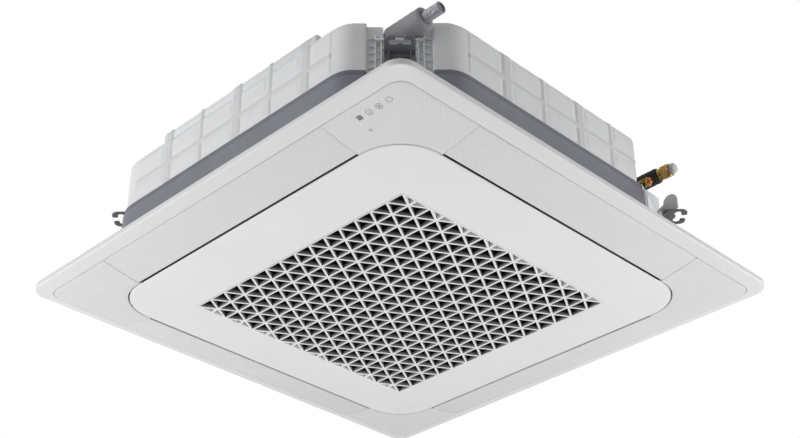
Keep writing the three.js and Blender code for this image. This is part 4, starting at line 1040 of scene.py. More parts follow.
def painted_rib_shade(wire, place):
    """Mask of painted shade on the ribs and the level band: they are painted a little darker, standing in for
    the thicker milky wall letting less light through.
    """
    x, y, z = wire.axes(place)
    on_y = wire.math("GREATER_THAN", wire.math("ABSOLUTE", y), wire.math("ABSOLUTE", x))
    along_x = wire.times(x, wire.times(wire.math("SIGN", y), -1.0))
    along_y = wire.times(y, wire.math("SIGN", x))
    along = wire.math("ADD", wire.times(along_x, on_y), wire.times(along_y, wire.less(1.0, on_y)))
    mask = wire.fit(wire.math("ABSOLUTE", wire.less(z, BAND_Z * MM)), 0.004, 0.007, 1.0, 0.0)
    for middle, width in RIBS:
        off = wire.math("ABSOLUTE", wire.less(along, middle * MM))
        rib = wire.fit(off, (width / 2 - 1) * MM, (width / 2 + 2.5) * MM, 1.0, 0.0)
        mask = wire.math("MAXIMUM", mask, rib)
    ends = wire.fit(wire.math("ABSOLUTE", along), 0.25, 0.262, 1.0, 0.0)
    return wire.times(mask, ends), 0.86, 0.0


def painted_shade_above(level, darker, depth):
    """Mask of all that lies above a height, where it is painted darker as painted shade."""
    def pattern(wire, place):
        return wire.fit(wire.axes(place)[2], level - 0.0004, level + 0.0004, 0.0, 1.0), darker, depth
    return pattern


class CASSETTE_OT_upper_shell(bpy.types.Operator):
    """Moulded upper shell: ribbed fields, rounded corners, hanger pockets with ribs, rail and pipe recess"""
    bl_idname = "cassette.upper_shell"
    bl_label = "Upper shell"

    def execute(self, context):
        size = context.scene.cassette_body
        # The ribs and the level band are painted a little darker: painted shade.
        white = finish("shell_white", context.scene.cassette_finishes.shell, 0.55, grain=420,
                       grain_height=0.05, cloud=9, shade=0.03, dirt=0.04, pattern=painted_rib_shade,
                       **{"Subsurface Weight": 0.15, "Subsurface Scale": 0.01})
        top = size.shell_top * 1000
        recess = Mould().block((330, 440), (173, 440), (149, 262), 4).prism(PIPE_CUT, 130, 152)
        recess.block((312, 440), (-360.2, -319.8), (209.8, 262), 3)
        piece = self.wall(size, top).make("upper_shell_moulded", white, carve=recess, angle=40)
        bars = self.recess_walls(top)
        bars.block((-185, 222), (-413.8, -398), (236, 259), 5)
        bars.block((-244, -186), (-413.5, -400), (232, 241.5), 3)
        for place, width in RIBS[:-1]:
            bars.block(around(place, width / 2), (-414.6, -400), (238, 259), 2)
        for turn in range(4):
            bars.add(self.pocket(turn == 1), QUARTERS[turn] - math.pi / 4)
        piece = join("upper_shell_full", piece, bars.make("shell_bars", white))
        smooth(piece, 40)
        settle(piece, "unit", "shell_white", "upper_shell")
        return {"FINISHED"}

    def wall(self, size, top):
        """The wall, level by level, with the ribs and fields pushed out of its four flat sides."""
        low, half = size.tray_top * 1000 + 0.3, size.width * 500 - 6
        plan, out = body_outline(half, 494, 30, (52, 483.4), 3.6)
        on_y = np.abs(plan[:, 1]) > np.abs(plan[:, 0])
        side = np.where(on_y, plan[:, 0] * -np.sign(plan[:, 1]), plan[:, 1] * np.sign(plan[:, 0]))
        levels = np.concatenate([
            [low, low + 0.6, low + 2, low + 4, low + 7, low + 10], np.linspace(low + 20, 180, 3),
            np.arange(183, 198, 1.4), np.linspace(202, top - 12, 4),
            [top - 9, top - 7, top - 5, top - 2.2, top - 0.8, top]])
        rows = []
        for z in levels:
            tuck = 0.8 if z in (low, top) else 2.2 * ramp(z, top - 4, top + 1)
            relief = np.zeros(len(plan))
            for number, (axis, sign) in enumerate(((1, -1), (0, 1), (1, 1), (0, -1))):
                here = plan[:, axis] * sign > half - 0.05
                places = RIBS[:4] if number == 1 else RIBS
                relief[here] = shell_relief(side[here], np.full(here.sum(), z), size, low, top, places)
            rows.append(at_height(plan + out * (relief - tuck)[:, None], z))
        inside = plan * (1 - 14 / half)
        return Mould().wrap(rows + [at_height(inside, top), at_height(inside, low)])

    def recess_walls(self, top):
        """Walls of the pipe recess, and the white wall below it with its two upright ribs."""
        walls = Mould().block((322, 330), (165, 366), (141, top), 1)
        walls.block((322, 404), (165, 173), (141, top), 1)
        walls.prism(np.array([(324, 167), (414, 170), (361, 318), (322, 350)]), 144, 149)
        start, run = np.array([416.5, 185]), np.array([-53, 135])
        walls.prism(np.array([start, start + run, (359, 318), (412, 183.5)]), 56, 149)
        proud = (1.8, 0.7)
        for place, wide in ((0.07, 0.016), (0.17, 0.02)):
            near, far = start + run * place, start + run * (place + wide)
            walls.prism(np.array([near, near + proud, far + proud, far]), 57, 146)
        return walls.block((325, 331.5), (322, 352), (149, top - 0.2), 0.5)

    def pocket(self, by_pipes):
        """Bars that frame a hanger, and the short level ribs beside them; made along +X."""
        mould = Mould()
        low, high = 147, 176 if by_pipes else 222
        for sign in (1,) if by_pipes else (-1, 1):
            for place, width in ((28, 2.4), (37.5, 2.6)):
                mould.block((480, 491), sorted((sign * place, sign * (place + width))), (low, high), 0.7)
            wedge = np.array([(480, 39), (491, 39), (484.6, 52.5), (480, 52.5)]) * (1, sign)
            for z in np.arange(low + 9, high - 3, 14.5):
                mould.prism(wedge[::sign], z, z + 2.4)
                mould.block((480, 486), sorted((sign * 29, sign * 38)), (z + 5, z + 7.4), 0.6)
        if by_pipes:
            mould.block((470, 483.6), (-30, 42), (146, 176), 3)
            return mould.block((474, 484), (-26, 30), (176, 181), 2.4)
        mould.block((480, 495), around(0, 40.1), (207, 210.6), 0.7)
        return mould.block((480, 487), around(0, 28), (194, 207.5), 0.6)


class CASSETTE_OT_base_tray(bpy.types.Operator):
    """Blue-grey lower tray with a stepped lip, hanger pockets, air slots, fan hole and duct wall"""
    bl_idname = "cassette.base_tray"
    bl_label = "Base tray"

    def execute(self, context):
        size = context.scene.cassette_body
        # The tray's inset top lip is painted darker: painted shade.
        grey = finish("tray_grey", context.scene.cassette_finishes.tray, 0.5, grain=700, grain_height=0.03,
                      cloud=5, shade=0.03, dirt=0.05, pattern=painted_shade_above(size.tray_top - 0.0108, 0.7, 0.0))
        half, top = size.width * 500, size.tray_top * 1000
        plan, out = body_outline(half, 498.5, 30, (52, 483.4), 12)

        def rings(*walls):
            return [at_height(plan + out * shift, z) for shift, z in walls]

        wall = rings((-2.2, TRAY_FOOT), (-0.6, 40.9), (0, 42.5), (0, top - 12.6), (-0.5, top - 11.6),
                     (-2.0, top - 11), (-2.0, top - 1.4), (-2.6, top - 0.4), (-3.6, top), (-10.5, top),
                     (-11.4, top - 1), (-12, top - 2), (-12, 45))
        mould = Mould().sweep(rings((-2.2, TRAY_FOOT), (-0.6, 40.9), (-0.6, 51.6), (-2.2, 52.3))).wrap(wall)
        mould.wrap([square(348 - inset, 90 - inset, z) for inset, z in (
            (0, 51), (0, 85), (1, 86), (6, 86), (7, 85), (7, 51))])
        cutters = Mould().rod("z", 240, 30, 55.5, (0, 0), 96, 0.2)
        cutters.block(around(-301, 29.3), around(0, 150.3), (30, 56), 2)
        slot = Mould().block((-255, 255), (-406, -350), (30, 56), 10)
        cutters.four(slot.rod("z", 3.4, 30, 56, SCREW_PLACE, 16))
        piece = mould.make("base_tray_moulded", grey, carve=cutters.prism(PIPE_CUT, 56, 150))
        settle(piece, "unit", "tray_grey", "base_tray")
        return {"FINISHED"}


class CASSETTE_OT_top_plate(bpy.types.Operator):
    """Galvanised top plate with pressed beads and a screwed edge"""
    bl_idname = "cassette.top_plate"
    bl_label = "Top plate"

    def execute(self, context):
        zinc = finish("galvanised", (0.46, 0.47, 0.48), 0.38, 0.75, grain=260, grain_height=0.02, cloud=38,
                      shade=0.13, rough_spread=0.1, dirt=0.08)
        low, top = 242.0, 243.6
        plate = Mould().prism(body_outline(410, 481.4, 30, None, 8)[0], low, top)
        cutters = Mould()
        for x, y in (((-186, 223), (-430, -397.7)), ((312, 430), (-361, -319)), ((326, 430), (169, 430))):
            cutters.block(x, y, (230, 250), 1)
        piece = plate.make("top_plate_sheet", zinc, carve=cutters)
        beads = Mould()
        for half, height in ((300, 1.2), (150, 1.0)):
            beads.wrap([square(half + grow, 60 + grow, z) for grow, z in (
                (7, top - 0.4), (5.5, top + height * 0.6), (3, top + height), (-3, top + height),
                (-5.5, top + height * 0.6), (-7, top - 0.4))])
        beads.four(Mould().block((-60, 60), (-270, -262), (top - 1, top + 1.2), 1.1), math.pi / 4)
        screw = [(0, 243), (4.6, 243), (4.6, 244.0), (3.6, 245.6), (1.4, 246), (1.2, 245.2), (0, 245.2)]
        for x, y in self.screw_places():
            beads.lathe(screw, "z", (x, y), 20)
        piece = join("top_plate_full", piece, beads.make("top_plate_beads", zinc))
        smooth(piece)
        settle(piece, "unit", "zinc_steel", "top_plate")
        return {"FINISHED"}

    def screw_places(self):
        """Four along each edge, without those that the recesses for pipes and drain take away."""
        row = np.array([(x, -386) for x in (-250, -120, 120, 250)])
        places = np.vstack([row @ rotation(turn) for turn in QUARTERS])
        return [(x, y) for x, y in places if not (x > 320 and (y > 160 or -365 < y < -315))]


class CASSETTE_OT_hangers(bpy.types.Operator):
    """Four bent hanger brackets with an open slot for the rod, corner gussets and a fixing screw"""
    bl_idname = "cassette.hangers"
    bl_label = "Hangers"

    def execute(self, context):
        dark = finish("hanger_dark", context.scene.cassette_finishes.hanger, 0.42, 0.1, grain=800,
                      grain_height=0.012, cloud=22, shade=0.16, rough_spread=0.1, dirt=0.15)
        bolt = finish("bolt_zinc", (0.55, 0.55, 0.54), 0.3, 0.9, grain=900, shade=0.1)
        face = 486.0
        head = Mould().lathe([(0, face), (4.6, face), (4.6, face + 2.2), (3.8, face + 3.2), (1.5, face + 3.5),
                              (1.3, face + 2.6), (0, face + 2.6)], "x", (0, 172), 6)
        for turn, corner in zip(QUARTERS, CORNERS):
            angle = turn - math.pi / 4
            piece = Mould().add(self.bracket(), angle).make("hanger_%s_bent" % corner, dark, bevel=0.5)
            settle(piece, "unit", "hanger_steel", "hanger_%s" % corner)
            settle(Mould().add(head, angle).make("hanger_screw_%s" % corner, bolt), "unit", "zinc_steel")
        return {"FINISHED"}

    def bracket(self):
        back, tip, half, low, high = 483.7, 533.9, 25.0, 183, 185.5

        def arc(x, y, radius, start, end):
            return circle(radius, math.radians(start), math.radians(end), 8, (x, y))

        right = np.vstack([
            [(back + 4, -half)], arc(tip - 12, -half + 12, 12, -90, -12), arc(tip - 3.4, -10.2, 3.4, -5, 90),
            [(524, -6.8)], arc(517.0, -12.2, 6.4, 24, -180), [(510.6, -5.6), (513.4, -4.6)]])
        plate = Mould().prism(np.vstack([right, right[::-1] * (1, -1)]), low, high)
        corner, upright = (back + 6, high - 6), math.pi / 2
        bend = np.vstack([[(back + 2.5, 122)], circle(3.5, math.pi, upright, 6, corner),
                          circle(6, upright, math.pi, 6, corner), [(back, 122)]])
        plate.sweep([[(x, y, z) for x, z in bend] for y in (-half, 0, half)])
        gusset = ((back + 2.2, 172), (back + 13, low + 0.2), (back + 2.2, low + 0.2))
        for middle in (-17, 17):
            plate.sweep([[(x, y, z) for x, z in gusset] for y in around(middle, 1.6)])
        return plate


# ---------------------------------------------------------------- pipes, drain and what is inside

def middle_of(low, high):
    """Middle of a box in the plan."""
    return (low[0] + high[0]) / 2, (low[1] + high[1]) / 2


def hexagon(radius, start, end, bore, centre, axis="x", chamfer=1.2):
    """Six-sided nut with its chamfered corners and an open bore."""
    flat = radius * math.cos(math.pi / 6)
    angles = np.linspace(0, 2 * math.pi, 49)[:-1]
    reach = flat / np.cos((angles + math.pi / 6) % (math.pi / 3) - math.pi / 6)

    def ring(place, cut):
        across = centre[0] + np.minimum(reach, cut) * np.cos(angles)
        up = centre[1] + np.minimum(reach, cut) * np.sin(angles)
        along = np.full(len(angles), place)
        return np.stack((along, across, up) if axis == "x" else (across, up, along), 1)

    return Mould().wrap([ring(place, cut) for place, cut in (
        (start, bore), (start, flat), (start + chamfer, radius), (end - chamfer, radius), (end, flat),
        (end, bore))])


class CASSETTE_OT_pipes(bpy.types.Operator):
    """Refrigerant pipes: insulation, copper, flare nuts, and the caps on their ends"""
    bl_idname = "cassette.pipes"
    bl_label = "Pipes"

    def execute(self, context):
        copper = finish("copper_pipe", (0.62, 0.24, 0.11), 0.28, 0.95, grain=700, grain_height=0.01, cloud=45,
                        shade=0.16, rough_spread=0.12, dirt=0.3)
        brass = finish("brass_nut", (0.44, 0.27, 0.08), 0.24, 0.95, grain=900, grain_height=0.008, cloud=60,
                       shade=0.14, rough_spread=0.1, dirt=0.2)
        black = finish("black_insulation", (0.022, 0.023, 0.026), 0.82, grain=520, grain_height=0.12,
                       cloud=40, shade=0.2, dirt=0.2)
        grey = finish("cap_grey", (0.56, 0.585, 0.58), 0.3, grain=800, cloud=50, shade=0.08)
        for name, centre, pipe, sleeve, nut, cap, lid in (("gas", (230, 185), 8, 14, 13.5, 9.6, grey),
                                                          ("liquid", (202, 161), 4.8, 9.5, 9, 5.4, copper)):
            nodes = ("pipe", "sleeve", "flare_nut", "cap", "header")
            boxes = {node: span("%s_%s" % (name, node)) for node in nodes}
            ends = {node: (low[0], high[0]) for node, (low, high) in boxes.items()}
            turned = [Mould().lathe(profile, "x", centre, 32) for profile in (
                self.tube(pipe, *ends["pipe"]), self.sleeve(pipe, sleeve, *ends["sleeve"]),
                self.cap(cap, *ends["cap"]))]
            for mould, piece, material, slot, node, making in (
                    (turned[0], "pipe_drawn", copper, "copper", "pipe", {}),
                    (turned[1], "insulation", black, "black_foam", "sleeve", {}),
                    (self.nut(nut, pipe + 0.3, centre, *ends["flare_nut"]), "nut_turned", brass, "brass",
                     "flare_nut", {"bevel": 0.25, "angle": 50}),
                    (turned[2], "cap_moulded", lid, "clear_grey", "cap", {}),
                    (self.header(*boxes["header"]), "header_brazed", copper, "copper", "header", {})):
                made = mould.make("%s_%s" % (name, piece), material, **making)
                settle(made, "unit", slot, "%s_%s" % (name, node))
        return {"FINISHED"}

    def tube(self, radius, start, end):
        """Profile of a copper pipe, open at its outer end."""
        return [(0, start + 0.5), (radius, start + 0.5), (radius, end - 0.6), (radius - 0.5, end),
                (radius - 1.2, end), (radius - 1.2, end - 8), (0, end - 8)]

    def sleeve(self, bore, radius, start, end):
        """Profile of the insulation, slightly wavy."""
        ripples = [(radius + 0.35 * math.sin(k * 2.1), start + (end - start) * k / 26) for k in range(1, 26)]
        return [(bore + 0.2, start), (radius - 1, start), *ripples, (radius - 0.8, end - 0.4),
                (radius - 2, end), (bore + 1, end), (bore + 0.2, end - 1.5)]

    def nut(self, radius, bore, centre, start, end):
        """Flare nut: a turned neck and the hexagon behind it."""
        size, neck = end - start, radius * 0.8
        body = hexagon(radius * 0.985, start + size * 0.32, end, bore, centre)
        return body.lathe([(bore, start), (neck - 1.5, start), (neck, start + 1.5),
                           (neck, start + size * 0.34), (bore, start + size * 0.34)], "x", centre, 32)

    def cap(self, radius, start, end):
        """Profile of a cap, 4 mm shorter than its box: five ridges for the fingers and a rounded end."""
        end -= 4
        profile = [(0, start), (radius - 0.6, start), (radius, start + 0.8)]
        for k in range(5):
            place = start + 2 + (end - start - 8) * k / 5
            profile += [(radius, place), (radius, place + 1.2), (radius - 0.5, place + 1.7),
                        (radius - 0.5, place + 2.3)]
        return profile + [(radius, end - 3.5), (radius - 0.6, end - 1.4), (radius - 2, end - 0.3),
                          (radius - 3.4, end), (0, end)]

    def header(self, low, high):
        """Upright header with drawn-in ends, and the six stubs that go to the coil."""
        radius, (x, y), bottom, top = (high[0] - low[0]) / 2, middle_of(low, high), low[2], high[2]
        ends = ((0, 0), (0.6, 0.6), (0.92, 2.4), (1, 4.5))
        body = Mould().lathe([(radius * share, bottom + rise) for share, rise in ends]
                             + [(radius * share, top - rise) for share, rise in ends[::-1]], "z", (x, y), 28)
        for z in np.linspace(bottom + 12, top - 12, 6):
            body.rod("x", radius * 0.35, x - radius * 0.3 - 4, x, (y, z), 14, 0.4)
        return body


class CASSETTE_OT_pipe_guard(bpy.types.Operator):
    """Small rounded plate at the pipe corner, beside the hanger"""
    bl_idname = "cassette.pipe_guard"
    bl_label = "Pipe guard"

    def execute(self, context):
        grey = finish("guard_grey", (0.60, 0.61, 0.625), 0.5, grain=700, grain_height=0.03, cloud=30,
                      shade=0.08)
        foot, radius, x = 186.5, 15.5, 368
        arch = circle(radius, 0, math.pi, 14, (x, foot + 20))
        side = [(x + radius, foot), *arch, (331.7, 197), (331.7, foot)]
        plate = Mould().sweep([[(x, y, z) for x, z in side] for y in (343.5, 346)])
        settle(plate.make("pipe_guard_plate", grey, bevel=0.6), "unit", "hanger_steel")
        return {"FINISHED"}


class CASSETTE_OT_drain(bpy.types.Operator):
    """Drain: foam sleeve, clear hose with a rolled end, pump with its riser, and the switch's float"""
    bl_idname = "cassette.drain"
    bl_label = "Drain"

    def execute(self, context):
        foam = finish("sleeve_foam", context.scene.cassette_finishes.foam, 0.9, grain=480, grain_height=0.11,
                      cloud=28, shade=0.07, dirt=0.07)
        clear = finish("hose_clear", (0.58, 0.595, 0.65), 0.16, grain=260, cloud=60, shade=0.12, **{
                       "Transmission Weight": 0.45, "IOR": 1.45, "Coat Weight": 0.3})
        black = finish("drain_black", (0.03, 0.031, 0.034), 0.42, grain=700, grain_height=0.04, cloud=40,
                       shade=0.16, dirt=0.15)
        white = finish("drain_white", (0.6, 0.61, 0.6), 0.45, grain=600, grain_height=0.03, cloud=40,
                       shade=0.05, dirt=0.06)
        centre = (-340, 230)
        sleeve = Mould().lathe(self.sleeve(), "x", centre, 48)
        settle(sleeve.make("drain_sleeve_foam", foam), "unit", "grey_foam", "drain_sleeve")
        bore, end = 8.3, span("drain_pipe")[1][0]
        hose = Mould().lathe(self.hose(bore), "x", centre, 40)
        settle(hose.make("drain_hose", clear), "unit", "clear_grey", "drain_pipe")
        # A thin black ring inside the hose's mouth and a black disc across its bore, 12 mm in, are painted
        # shade inside the hose.
        rim = Mould().lathe([(bore - inset, end - back) for inset, back in (
            (0.05, 3), (0.5, 3), (0.5, 0.4), (0.05, 0.4))], "x", centre, 40)
        rim.lathe([(0, end - 13), (bore, end - 13), (bore, end - 12), (0, end - 12)], "x", centre, 40)
        settle(rim.make("drain_hose_bore_shade", black), "unit", "clear_grey")
        self.pump(black, white)
        self.float_body(white)
        return {"FINISHED"}

    def sleeve(self):
        """Profile of the foam sleeve, slightly wavy."""
        (start, *_), (end, *_) = span("drain_sleeve")
        bore, radius = 11.0, 19
        skin = [(radius + 0.18 * math.sin(k * 1.7) - 0.2, start + 1.5 + (end - start - 3.4) * k / 20)
                for k in range(21)]
        return [(bore, start + 1), (bore + 0.4, start), (radius - 1.2, start), (radius - 0.5, start + 0.7),
                *skin, (radius - 0.6, end - 0.9), (radius - 1.6, end), (bore + 0.6, end), (bore, end - 1)]

    def hose(self, bore):
        """Profile of the hose: two rings near its end and a rolled edge."""
        (start, *_), (end, *_) = span("drain_pipe")
        radius = 10.7
        profile = [(bore, start), (radius - 0.6, start), (radius, start + 0.6)]
        for place in (end - 24, end - 17):
            profile += [(radius - 0.25, place), (radius - 0.25, place + 1), (radius - 0.6, place + 1.5),
                        (radius - 0.25, place + 2)]
        profile += [(radius - cut, end - back) for cut, back in ((0.3, 3.4), (0, 2.8), (0, 0.7), (0.5, 0))]
        return profile + [(bore + 0.4, end), (bore, end - 0.5)]

    def pump(self, black, white):
        """Lift pump with ribs round its motor, the riser that bends over to the drain, and its clip."""
        x, y = centre = (278, -340)
        radius, level, bend, pipe = 20, 230, 14, 8
        mould = Mould().lathe([
            (0, 92), (9, 92), (10, 93), (10, 97), (15, 100), (radius - 1, 102), (radius, 104), (radius, 124),
            (radius - 1, 125), (radius - 1, 127), (radius, 128), (radius, 146), (radius - 2, 149),
            (radius - 5, 150), (0, 150)], "z", centre, 40)
        for place in circle(17.5, 0, 2 * math.pi, 8, centre)[:-1]:
            mould.block(around(place[0], 1), around(place[1], 1), (126, 149), 0.4)
        turn = circle(bend, math.pi, math.pi / 2, 8, (x + bend, level - bend))
        end = min(span("drain_pump")[1][0], 330) - 0.6
        path = np.vstack([[(x, 148)], turn, [(end, level)]])
        around_pipe = circle(pipe, 0, 2 * math.pi, 28)[:-1]
        rings = []
        for i, (along, z) in enumerate(path):
            ahead = path[min(len(path) - 1, i + 1)] - path[max(0, i - 1)]
            ahead /= np.hypot(*ahead)
            rings.append([(along - out * ahead[1], y + side, z + out * ahead[0])
                          for out, side in around_pipe])
        mould.sweep(rings)
        settle(mould.make("drain_pump_moulded", white), "unit", "clear_grey", "drain_pump")
        band = Mould().lathe([(8.1, 206), (9.6, 206), (9.6, 212), (8.1, 212)], "z", centre, 28)
        band.block((x + 8.4, x + 13), around(y, 3), (206.5, 211.5), 0.5)
        settle(band.make("drain_clip", black), "unit", "rubber")

    def float_body(self, white):
        """Float with a groove round its middle and a bore for the stem."""
        low, high = span("float")
        radius, start, end, bore = (high[0] - low[0]) / 2, low[2], high[2], 3.4
        middle = (start + end) / 2
        mould = Mould().lathe([
            (bore, start + 0.5), (bore + 0.5, start), (radius - 1.6, start), (radius, start + 1.6),
            (radius, middle - 1), (radius - 0.5, middle), (radius, middle + 1), (radius, end - 1.6),
            (radius - 1.6, end), (bore + 0.5, end), (bore, end - 0.5)], "z", middle_of(low, high), 32)
        settle(mould.make("float_moulded", white), "water_float", "clear_grey", "float")


# Finish of each slot of the frame's own pieces: colour, roughness, metallic, grain, its height, shade, dirt
KEPT = {
    "panel_white": ((0.70, 0.71, 0.72), 0.4, 0.0, 1400, 0.015, 0.02, 0.0),
    "blade_white": ((0.70, 0.71, 0.72), 0.4, 0.0, 1400, 0.015, 0.02, 0.0),
    "shell_white": ((0.66, 0.67, 0.68), 0.5, 0.0, 500, 0.04, 0.03, 0.05),
    "tray_grey": ((0.26, 0.27, 0.32), 0.5, 0.0, 700, 0.03, 0.04, 0.06),
    "window_grey": ((0.2, 0.21, 0.22), 0.15, 0.0, 900, 0.01, 0.05, 0.0),
    "black_plastic": ((0.03, 0.031, 0.034), 0.5, 0.0, 800, 0.05, 0.12, 0.12),
    "filter_dark": ((0.02, 0.021, 0.023), 0.7, 0.0, 900, 0.05, 0.15, 0.1),
    "zinc_steel": ((0.5, 0.51, 0.52), 0.34, 0.85, 420, 0.015, 0.12, 0.15),
    "hanger_steel": ((0.06, 0.062, 0.068), 0.42, 0.4, 800, 0.012, 0.14, 0.15),
    "pan_foam": ((0.62, 0.63, 0.62), 0.85, 0.0, 330, 0.14, 0.06, 0.1),
    "fin_aluminium": ((0.62, 0.64, 0.66), 0.3, 0.9, 600, 0.02, 0.1, 0.15),
    "copper": ((0.62, 0.24, 0.11), 0.3, 0.95, 700, 0.01, 0.14, 0.2),
    "brass": ((0.6, 0.4, 0.13), 0.28, 0.95, 900, 0.01, 0.12, 0.2),
    "black_foam": ((0.022, 0.023, 0.026), 0.85, 0.0, 520, 0.12, 0.2, 0.2),
    "grey_foam": ((0.25, 0.253, 0.265), 0.9, 0.0, 480, 0.1, 0.08, 0.1),
    "clear_grey": ((0.55, 0.56, 0.58), 0.35, 0.0, 500, 0.02, 0.06, 0.05),
    "rubber": ((0.03, 0.03, 0.032), 0.75, 0.0, 600, 0.06, 0.15, 0.15),
}


class CASSETTE_OT_screws(bpy.types.Operator):
    """Four panel screws with cross slots, washers and rolled threads, and the fan's lock nut"""
    bl_idname = "cassette.screws"
    bl_label = "Screws"

    def execute(self, context):
        zinc = finish("screw_zinc", (0.6, 0.6, 0.58), 0.26, 0.95, grain=1500, grain_height=0.006, cloud=90,
                      shade=0.12, rough_spread=0.1, dirt=0.25)
        pitch = 1.1
        for corner in CORNERS:
            low, high = span("panel_screw_%s" % corner)
            x, y = middle_of(low, high)
            bottom, top = low[2], high[2]
            walls = [(radius, bottom + rise) for radius, rise in (
                (0, 0.3), (4, 0), (6.0, 0.6), (6.8, 1.8), (6.9, 4), (2.9, 4))]
            for place in np.arange(bottom + 5, top - 2.6, pitch):
                walls += [(2.95, place), (2.45, place + pitch / 2)]
            walls += [(2.2, top - 1.6), (1.2, top - 0.2), (0, top)]
            cross = Mould().block(around(x, 3.2), around(y, 0.6), (bottom - 1, bottom + 2), 0.1)
            cross.block(around(x, 0.6), around(y, 3.2), (bottom - 1, bottom + 1.9), 0.1)
            screw = Mould().lathe(walls, "z", (x, y), 28)
            settle(screw.make("panel_screw_%s_rolled" % corner, zinc, carve=cross), "unit", "zinc_steel",
                   "panel_screw_%s" % corner)
        low, high = span("fan_nut")
        nut = hexagon((high[0] - low[0]) / 2, low[2], high[2], 6.2, (0, 0), "z", 1.0)
        settle(nut.make("fan_nut_cut", zinc, bevel=0.2, angle=50), "fan", "zinc_steel", "fan_nut")
        return {"FINISHED"}


class CASSETTE_OT_fan_motor(bpy.types.Operator):
    """Fan motor: pressed shell with vents and a flange, its shaft, and the three rubber mounts"""
    bl_idname = "cassette.fan_motor"
    bl_label = "Fan motor"

    def execute(self, context):
        zinc = finish("motor_shell", (0.34, 0.345, 0.35), 0.36, 0.85, grain=500, grain_height=0.015, cloud=40,
                      shade=0.12, dirt=0.2)
        rubber = finish("mount_rubber", (0.028, 0.028, 0.03), 0.75, grain=600, grain_height=0.06, cloud=60,
                        shade=0.15, dirt=0.2)
        low, high = span("fan_motor")
        flange, wall, bottom, top = (high[0] - low[0]) / 2, 65.8, low[2], high[2]
        shell = [(radius, bottom + rise) for radius, rise in (
            (0, 0.2), (16, 0.2), (17, 1.4), (24, 1.4), (26, 0.1), (56, 0.1), (62, 1.6), (65.6, 6),
            (wall, 12.6), (flange - 1, 12.6), (flange, 13.3), (flange, 14.4), (flange - 1, 15), (wall, 15),
            (wall, 30), (64.4, 31), (64.4, 33), (wall, 34))]
        shell += [(radius, top - drop) for radius, drop in (
            (wall, 8), (62, 2), (54, 0.1), (20, 0.1), (18, 1.6), (0, 1.6))]
        case = Mould().lathe(shell, "z", (0, 0), 72).make("fan_motor_pressed", zinc)
        piece = join("fan_motor_full", case, self.vents(rubber, bottom + 42))
        settle(piece, "unit", "zinc_steel", "fan_motor")
        (*_, low), (*_, high) = span("motor_shaft")
        walls = [(0, low), (5.2, low), (5.9, low + 0.8), (5.9, high - 0.8), (5.4, high), (0, high)]
        body = "fan" if body_of(frame["nodes"]["motor_shaft"]) == ["fan"] else "unit"
        shaft = Mould().lathe(walls, "z", (0, 0), 32).make("motor_shaft_ground", zinc)
        settle(shaft, body, "zinc_steel", "motor_shaft")
        for node in ("motor_mount_1", "motor_mount_2", "motor_mount_3"):
            low, high = span(node)
            radius = (high[0] - low[0]) / 2
            half = [(0, 0), (radius - 0.8, 0), (radius, 0.8), (radius, 2.2), (radius - 1.6, 3.4)]
            walls = [(r, low[2] + rise) for r, rise in half] + [(r, high[2] - rise) for r, rise in half[::-1]]
            mount = Mould().lathe(walls, "z", middle_of(low, high), 32).make(node + "_moulded", rubber)
            settle(mount, "unit", "rubber", node)
        return {"FINISHED"}

    def vents(self, rubber, level):
        """Dark upright blocks set into the shell in place of open slots: painted shade where the vents would
        show the dark inside.
        """
        slots = Growth("Motor vents", Count=18, Radius=0.0652, Material=rubber)
        wire = slots.wire
        index = wire.add("GeometryNodeInputIndex").outputs[0]
        angle = wire.math("DIVIDE", wire.times(index, 2 * math.pi), slots["Count"])
        x, y = [wire.times(wire.math(way, angle), slots["Radius"]) for way in ("COSINE", "SINE")]
        slot = wire.add("GeometryNodeMeshCube", {
            "Size": (0.0016, 0.005, 0.011), "Vertices X": 2, "Vertices Y": 3, "Vertices Z": 3}).outputs[0]
        return slots.finish("motor_vent_shade", slots.scatter(slot, slots["Count"], x, y, level * MM, angle))


class CASSETTE_OT_kept_parts(bpy.types.Operator):
    """Gives every frame node that stays in sight its worked material, by the slot that the record names"""
    bl_idname = "cassette.kept_parts"
    bl_label = "Kept parts"

    def execute(self, context):
        slots = {row["node"]: row["material_slot"] for row in frame["record"]["subparts"]}
        fins = lines(0, 0.0024, 0.4, 0.35, 0.4)
        made = {}
        for name, node in frame["nodes"].items():
            slot = slots.get(name, "black_plastic")
            key = "coil" if name == "heat_exchanger" else slot
            if key not in made:
                base, rough, metallic, grain, height, shade, dirt = KEPT[slot]
                made[key] = finish("kept_%s" % key, base, rough, metallic, grain=grain, grain_height=height,
                                   shade=shade, dirt=dirt, cloud=24, pattern=fins if key == "coil" else None)
            if not node.material_slots:
                node.data.materials.append(made[key])
            for place in node.material_slots:
                place.material = made[key]
        return {"FINISHED"}


# ---------------------------------------------------------------- the stage

class StageSettings(bpy.types.PropertyGroup):
    lens: bpy.props.FloatProperty(
        name="Lens", description="Focal length of the camera", default=66.44, unit="CAMERA")
    yaw: angle("Yaw", "Turn of the camera round the vertical, from looking along +Y", 44.81)
    pitch: angle("Pitch", "How far the camera looks up", 32.2)
    roll: angle("Roll", "Turn of the camera round its own axis", -0.37)
    floor: length("Floor", "Height of the floor below the ceiling unit", -5.2)
    ambient: bpy.props.FloatProperty(
        name="Ambient", description="Even light from all round", default=0.36, min=0)


